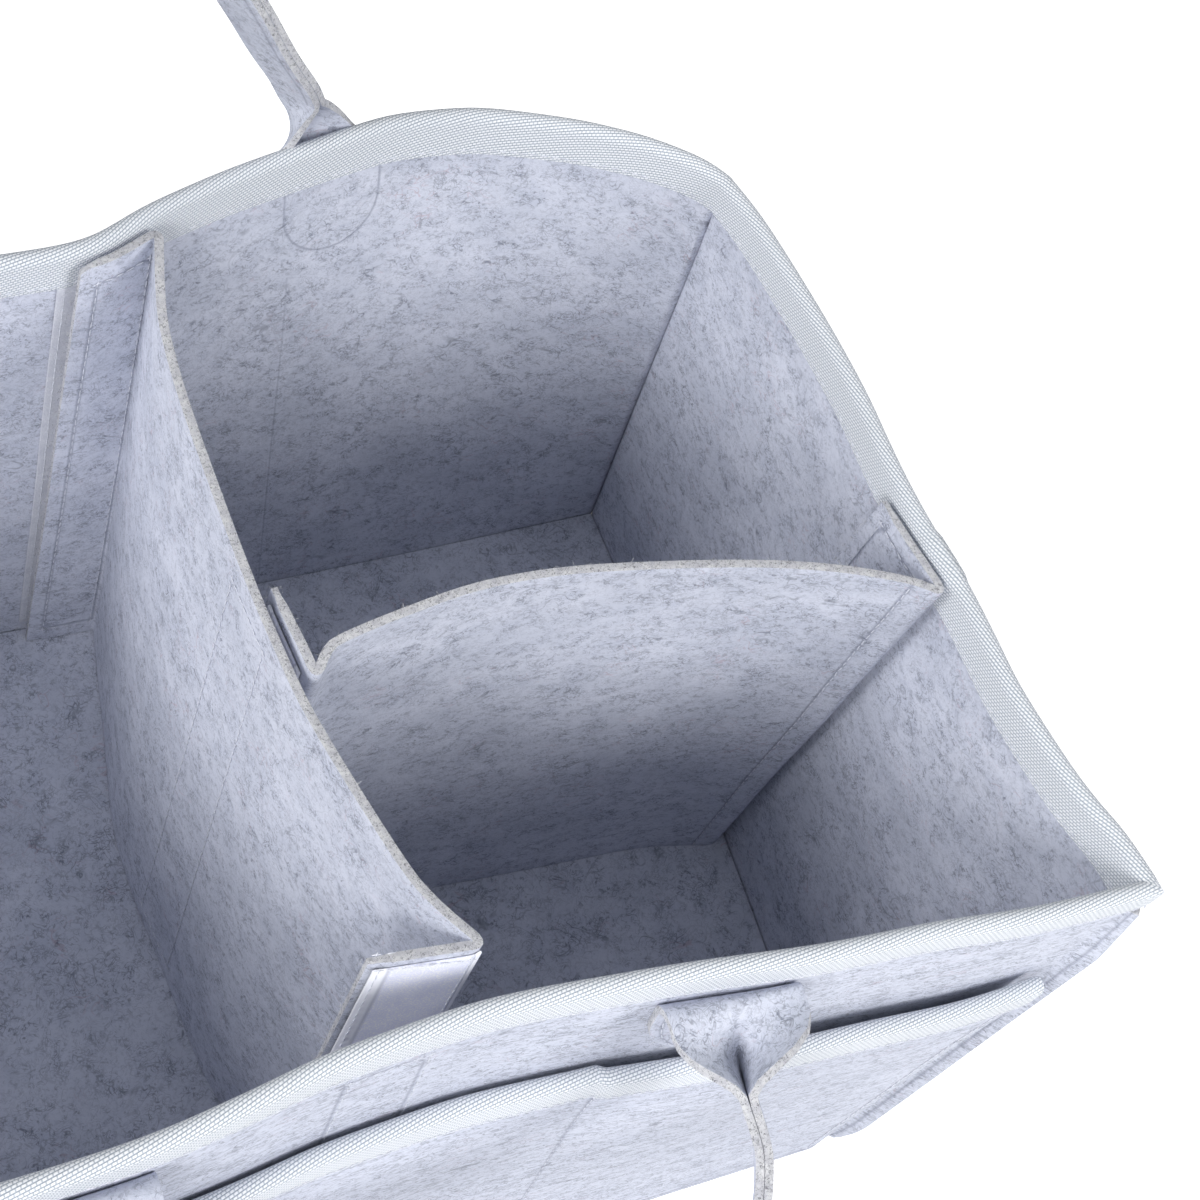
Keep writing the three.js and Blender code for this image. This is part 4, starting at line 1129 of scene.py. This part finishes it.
def node_group(name, sizes):
    """A geometry tree with named sizes, its inputs, and points a Step apart along its guide lines."""
    tree = bpy.data.node_groups.new(name, "GeometryNodeTree")
    tree.interface.new_socket("Geometry", in_out="INPUT", socket_type="NodeSocketGeometry")
    for size, value in sizes.items():
        socket = tree.interface.new_socket(size, in_out="INPUT", socket_type="NodeSocketFloat")
        socket.default_value = value
    tree.interface.new_socket("Geometry", in_out="OUTPUT", socket_type="NodeSocketGeometry")
    given = new_node(tree, "NodeGroupInput").outputs
    line = add(tree, "GeometryNodeMeshToCurve", {"Mesh": given["Geometry"]})
    step = {"Curve": line, "Length": given["Step"]}
    return tree, given, new_node(tree, "GeometryNodeCurveToPoints", step, mode="LENGTH")


def random_vector(tree, low, high, seed):
    """A random vector for each point."""
    inputs = {0: low, 1: high, "Seed": seed}
    return add(tree, "FunctionNodeRandomValue", inputs, data_type="FLOAT_VECTOR")


def put_on(tree, spots, item, turn, size, material):
    """Sets an item on each point and ends the tree with the plain mesh of them all."""
    put = add(tree, "GeometryNodeInstanceOnPoints", {
        "Points": spots, "Instance": item, "Rotation": turn, "Scale": size})
    real = add(tree, "GeometryNodeRealizeInstances", {0: put})
    done = add(tree, "GeometryNodeSetMaterial", {"Geometry": real, "Material": material})
    new_node(tree, "NodeGroupOutput", {0: done})


stitch_sizes = {"Step": STITCH_PITCH * MM, "Length": STITCH_LENGTH * MM, "Thread": THREAD * MM}
stitching, given, spots = node_group("stitches", stitch_sizes)
bead = add(stitching, "GeometryNodeMeshUVSphere", {"Segments": 6, "Rings": 4, "Radius": 0.5})
size = add(stitching, "ShaderNodeCombineXYZ", {0: given["Thread"], 1: given["Thread"], 2: given["Length"]})
tilt = random_vector(stitching, (-0.12, -0.12, 0.0), (0.12, 0.12, 0.0), 4)
turn = add(stitching, "FunctionNodeRotateRotation", {0: spots.outputs["Rotation"], 1: tilt},
           rotation_space="LOCAL")
put_on(stitching, spots.outputs[0], bead, turn, size, spun_thread)


def grow(name, lines, tree, sizes):
    """Runs a geometry tree on a mesh of open guide lines and returns the plain mesh it makes."""
    points, edges = [], []
    for line in lines:
        edges += [(len(points) + k, len(points) + k + 1) for k in range(len(line) - 1)]
        points += [tuple(point) for point in line]
    piece = new_piece(name, points, [], edges=edges)
    live = piece.modifiers.new("grow", "NODES")
    live.node_group = tree
    for item in tree.interface.items_tree:
        if item.in_out == "INPUT" and item.name in sizes:
            live[item.identifier] = sizes[item.name]
    return bake(piece, 180)


for body, lines in threads.items():
    dress(grow(body + "_stitches", lines, stitching, stitch_sizes), body, "felt")

# Loose fibres. The cut edges of the felt shed short curled fibres, which catch the light. They are
# drawn about 0.1 mm thick, coarser than real ones, so that they show.

FIBRE_STEP = 0.42
FIBRE_LENGTH = 1.3

loose_fibre, tree, shader, place = new_material("loose_polyester_fibre", 0.8, sheen=0.2)
pick = ramp(tree, noise(tree, place, 900.0, 1.0), 0.5, 0.56)
tree.links.new(tinted(tree, "#f2f2f4", (pick, "#8d8e98")), shader.inputs["Base Color"])

fibre_sizes = {"Step": FIBRE_STEP * MM, "Length": FIBRE_LENGTH * MM, "Spread": FELT / 2 * MM}
fraying, given, spots = node_group("frayed_edge", fibre_sizes)
around = random_vector(fraying, (-1.0, -1.0, -1.0), (1.0, 1.0, 1.0), 7)
shift = add(fraying, "ShaderNodeVectorMath", {0: around, "Scale": given["Spread"]}, operation="SCALE")
spots = add(fraying, "GeometryNodeSetPosition", {"Geometry": spots.outputs[0], "Offset": shift})
curl = add(fraying, "GeometryNodeCurveQuadraticBezier", {
    "Resolution": 4, "Start": (0.0, 0.0, 0.0), "Middle": (0.45, 0.1, 0.4), "End": (0.1, 0.3, 0.95)})
hair = add(fraying, "GeometryNodeCurvePrimitiveCircle", {"Resolution": 3, "Radius": 0.035})
fibre = add(fraying, "GeometryNodeCurveToMesh", {"Curve": curl, "Profile Curve": hair})
turn = random_vector(fraying, (0.0, 0.0, 0.0), (6.28, 6.28, 6.28), 11)
grown = new_node(fraying, "FunctionNodeRandomValue", {2: 0.35, 3: 1.15, "Seed": 13},
                 data_type="FLOAT").outputs[1]
put_on(fraying, spots, fibre, turn, times(fraying, grown, given["Length"]), loose_fibre)

for body, lines in raw_edges.items():
    dress(grow(body + "_loose_fibres", lines, fraying, fibre_sizes), body, "felt")

# Studio. A plain pale floor and backdrop under three soft boxes, and the photograph's camera. The
# floor's paper glows a little for the camera only, so that it shows white as in the photograph.

WHITE = (1.0, 1.0, 1.0, 1.0)
BLACK = (0.0, 0.0, 0.0, 1.0)
ROOM = 4000.0
LAMP_SIZE = 0.9
LAMP_AIM = (0, 0, 0.1)
world = bpy.data.worlds.new("soft_studio")
bpy.context.scene.world = world
world.use_nodes = True
tree = world.node_tree
tree.nodes.clear()
ray = new_node(tree, "ShaderNodeLightPath").outputs
glow = add(tree, "ShaderNodeBackground", {"Color": (0.94, 0.97, 1.0, 1.0), "Strength": 0.36})
white = add(tree, "ShaderNodeBackground", {"Color": WHITE, "Strength": 1.0})
seen = maths(tree, "MAXIMUM", ray["Is Camera Ray"], ray["Is Glossy Ray"])
mixed = add(tree, "ShaderNodeMixShader", {0: seen, 1: glow, 2: white})
new_node(tree, "ShaderNodeOutputWorld", {"Surface": mixed})

paper, tree, shader, place = new_material("white_studio_paper", 0.9)
shader.inputs["Base Color"].default_value = linear("#ececec")
ray = new_node(tree, "ShaderNodeLightPath").outputs["Is Camera Ray"]
lift = add(tree, "ShaderNodeEmission", {"Color": WHITE, "Strength": 0.8})
none = add(tree, "ShaderNodeEmission", {"Color": BLACK, "Strength": 0.0})
seen = add(tree, "ShaderNodeMixShader", {0: ray, 1: none, 2: lift})
both = add(tree, "ShaderNodeAddShader", {0: shader.outputs[0], 1: seen})
tree.links.new(both, tree.nodes["Material Output"].inputs["Surface"])
room = [(-ROOM, -ROOM, 0), (ROOM, -ROOM, 0), (ROOM, ROOM, 0), (-ROOM, ROOM, 0)]
floor = new_piece("studio_floor", room, [(0, 1, 2, 3)], (paper,))


def set_up(item, across, up, away, place):
    """Turns a lamp or camera by the directions of its axes and puts it in its place."""
    turn = np.eye(4)
    turn[:3] = np.column_stack([across, up, away, place])
    item.matrix_world = Matrix(turn.tolist())


def soft_box(name, place, power):
    """A square soft box that faces the middle of the caddy."""
    data = bpy.data.lights.new(name, "AREA")
    data.shape, data.size, data.energy = "SQUARE", LAMP_SIZE, power
    away = unit(np.array(place) - np.array(LAMP_AIM))
    across = unit(np.cross([0, 0, 1], away))
    set_up(linked(name, data), across, np.cross(away, across), away, place)


soft_box("front_left_soft_box", (-1.2, -1.4, 1.25), 22.6)
soft_box("front_right_soft_box", (1.2, -1.4, 1.25), 20.5)
soft_box("left_soft_box", (-1.8, 0.1, 1.2), 18.0)

camera_data = bpy.data.cameras.new("photograph_camera")
camera_data.sensor_width = 36.0
camera_data.lens = 61.5
camera = linked("photograph_camera", camera_data)
set_up(camera, (0.91544055, -0.32773826, 0.23357274), (0.186372, 0.85961954, 0.47573072),
       (-0.35669885, -0.39197178, 0.84801183), (-0.11008666, -0.21279407, 0.64394393))
bpy.context.scene.camera = camera
bpy.context.scene.view_settings.view_transform = "Standard"
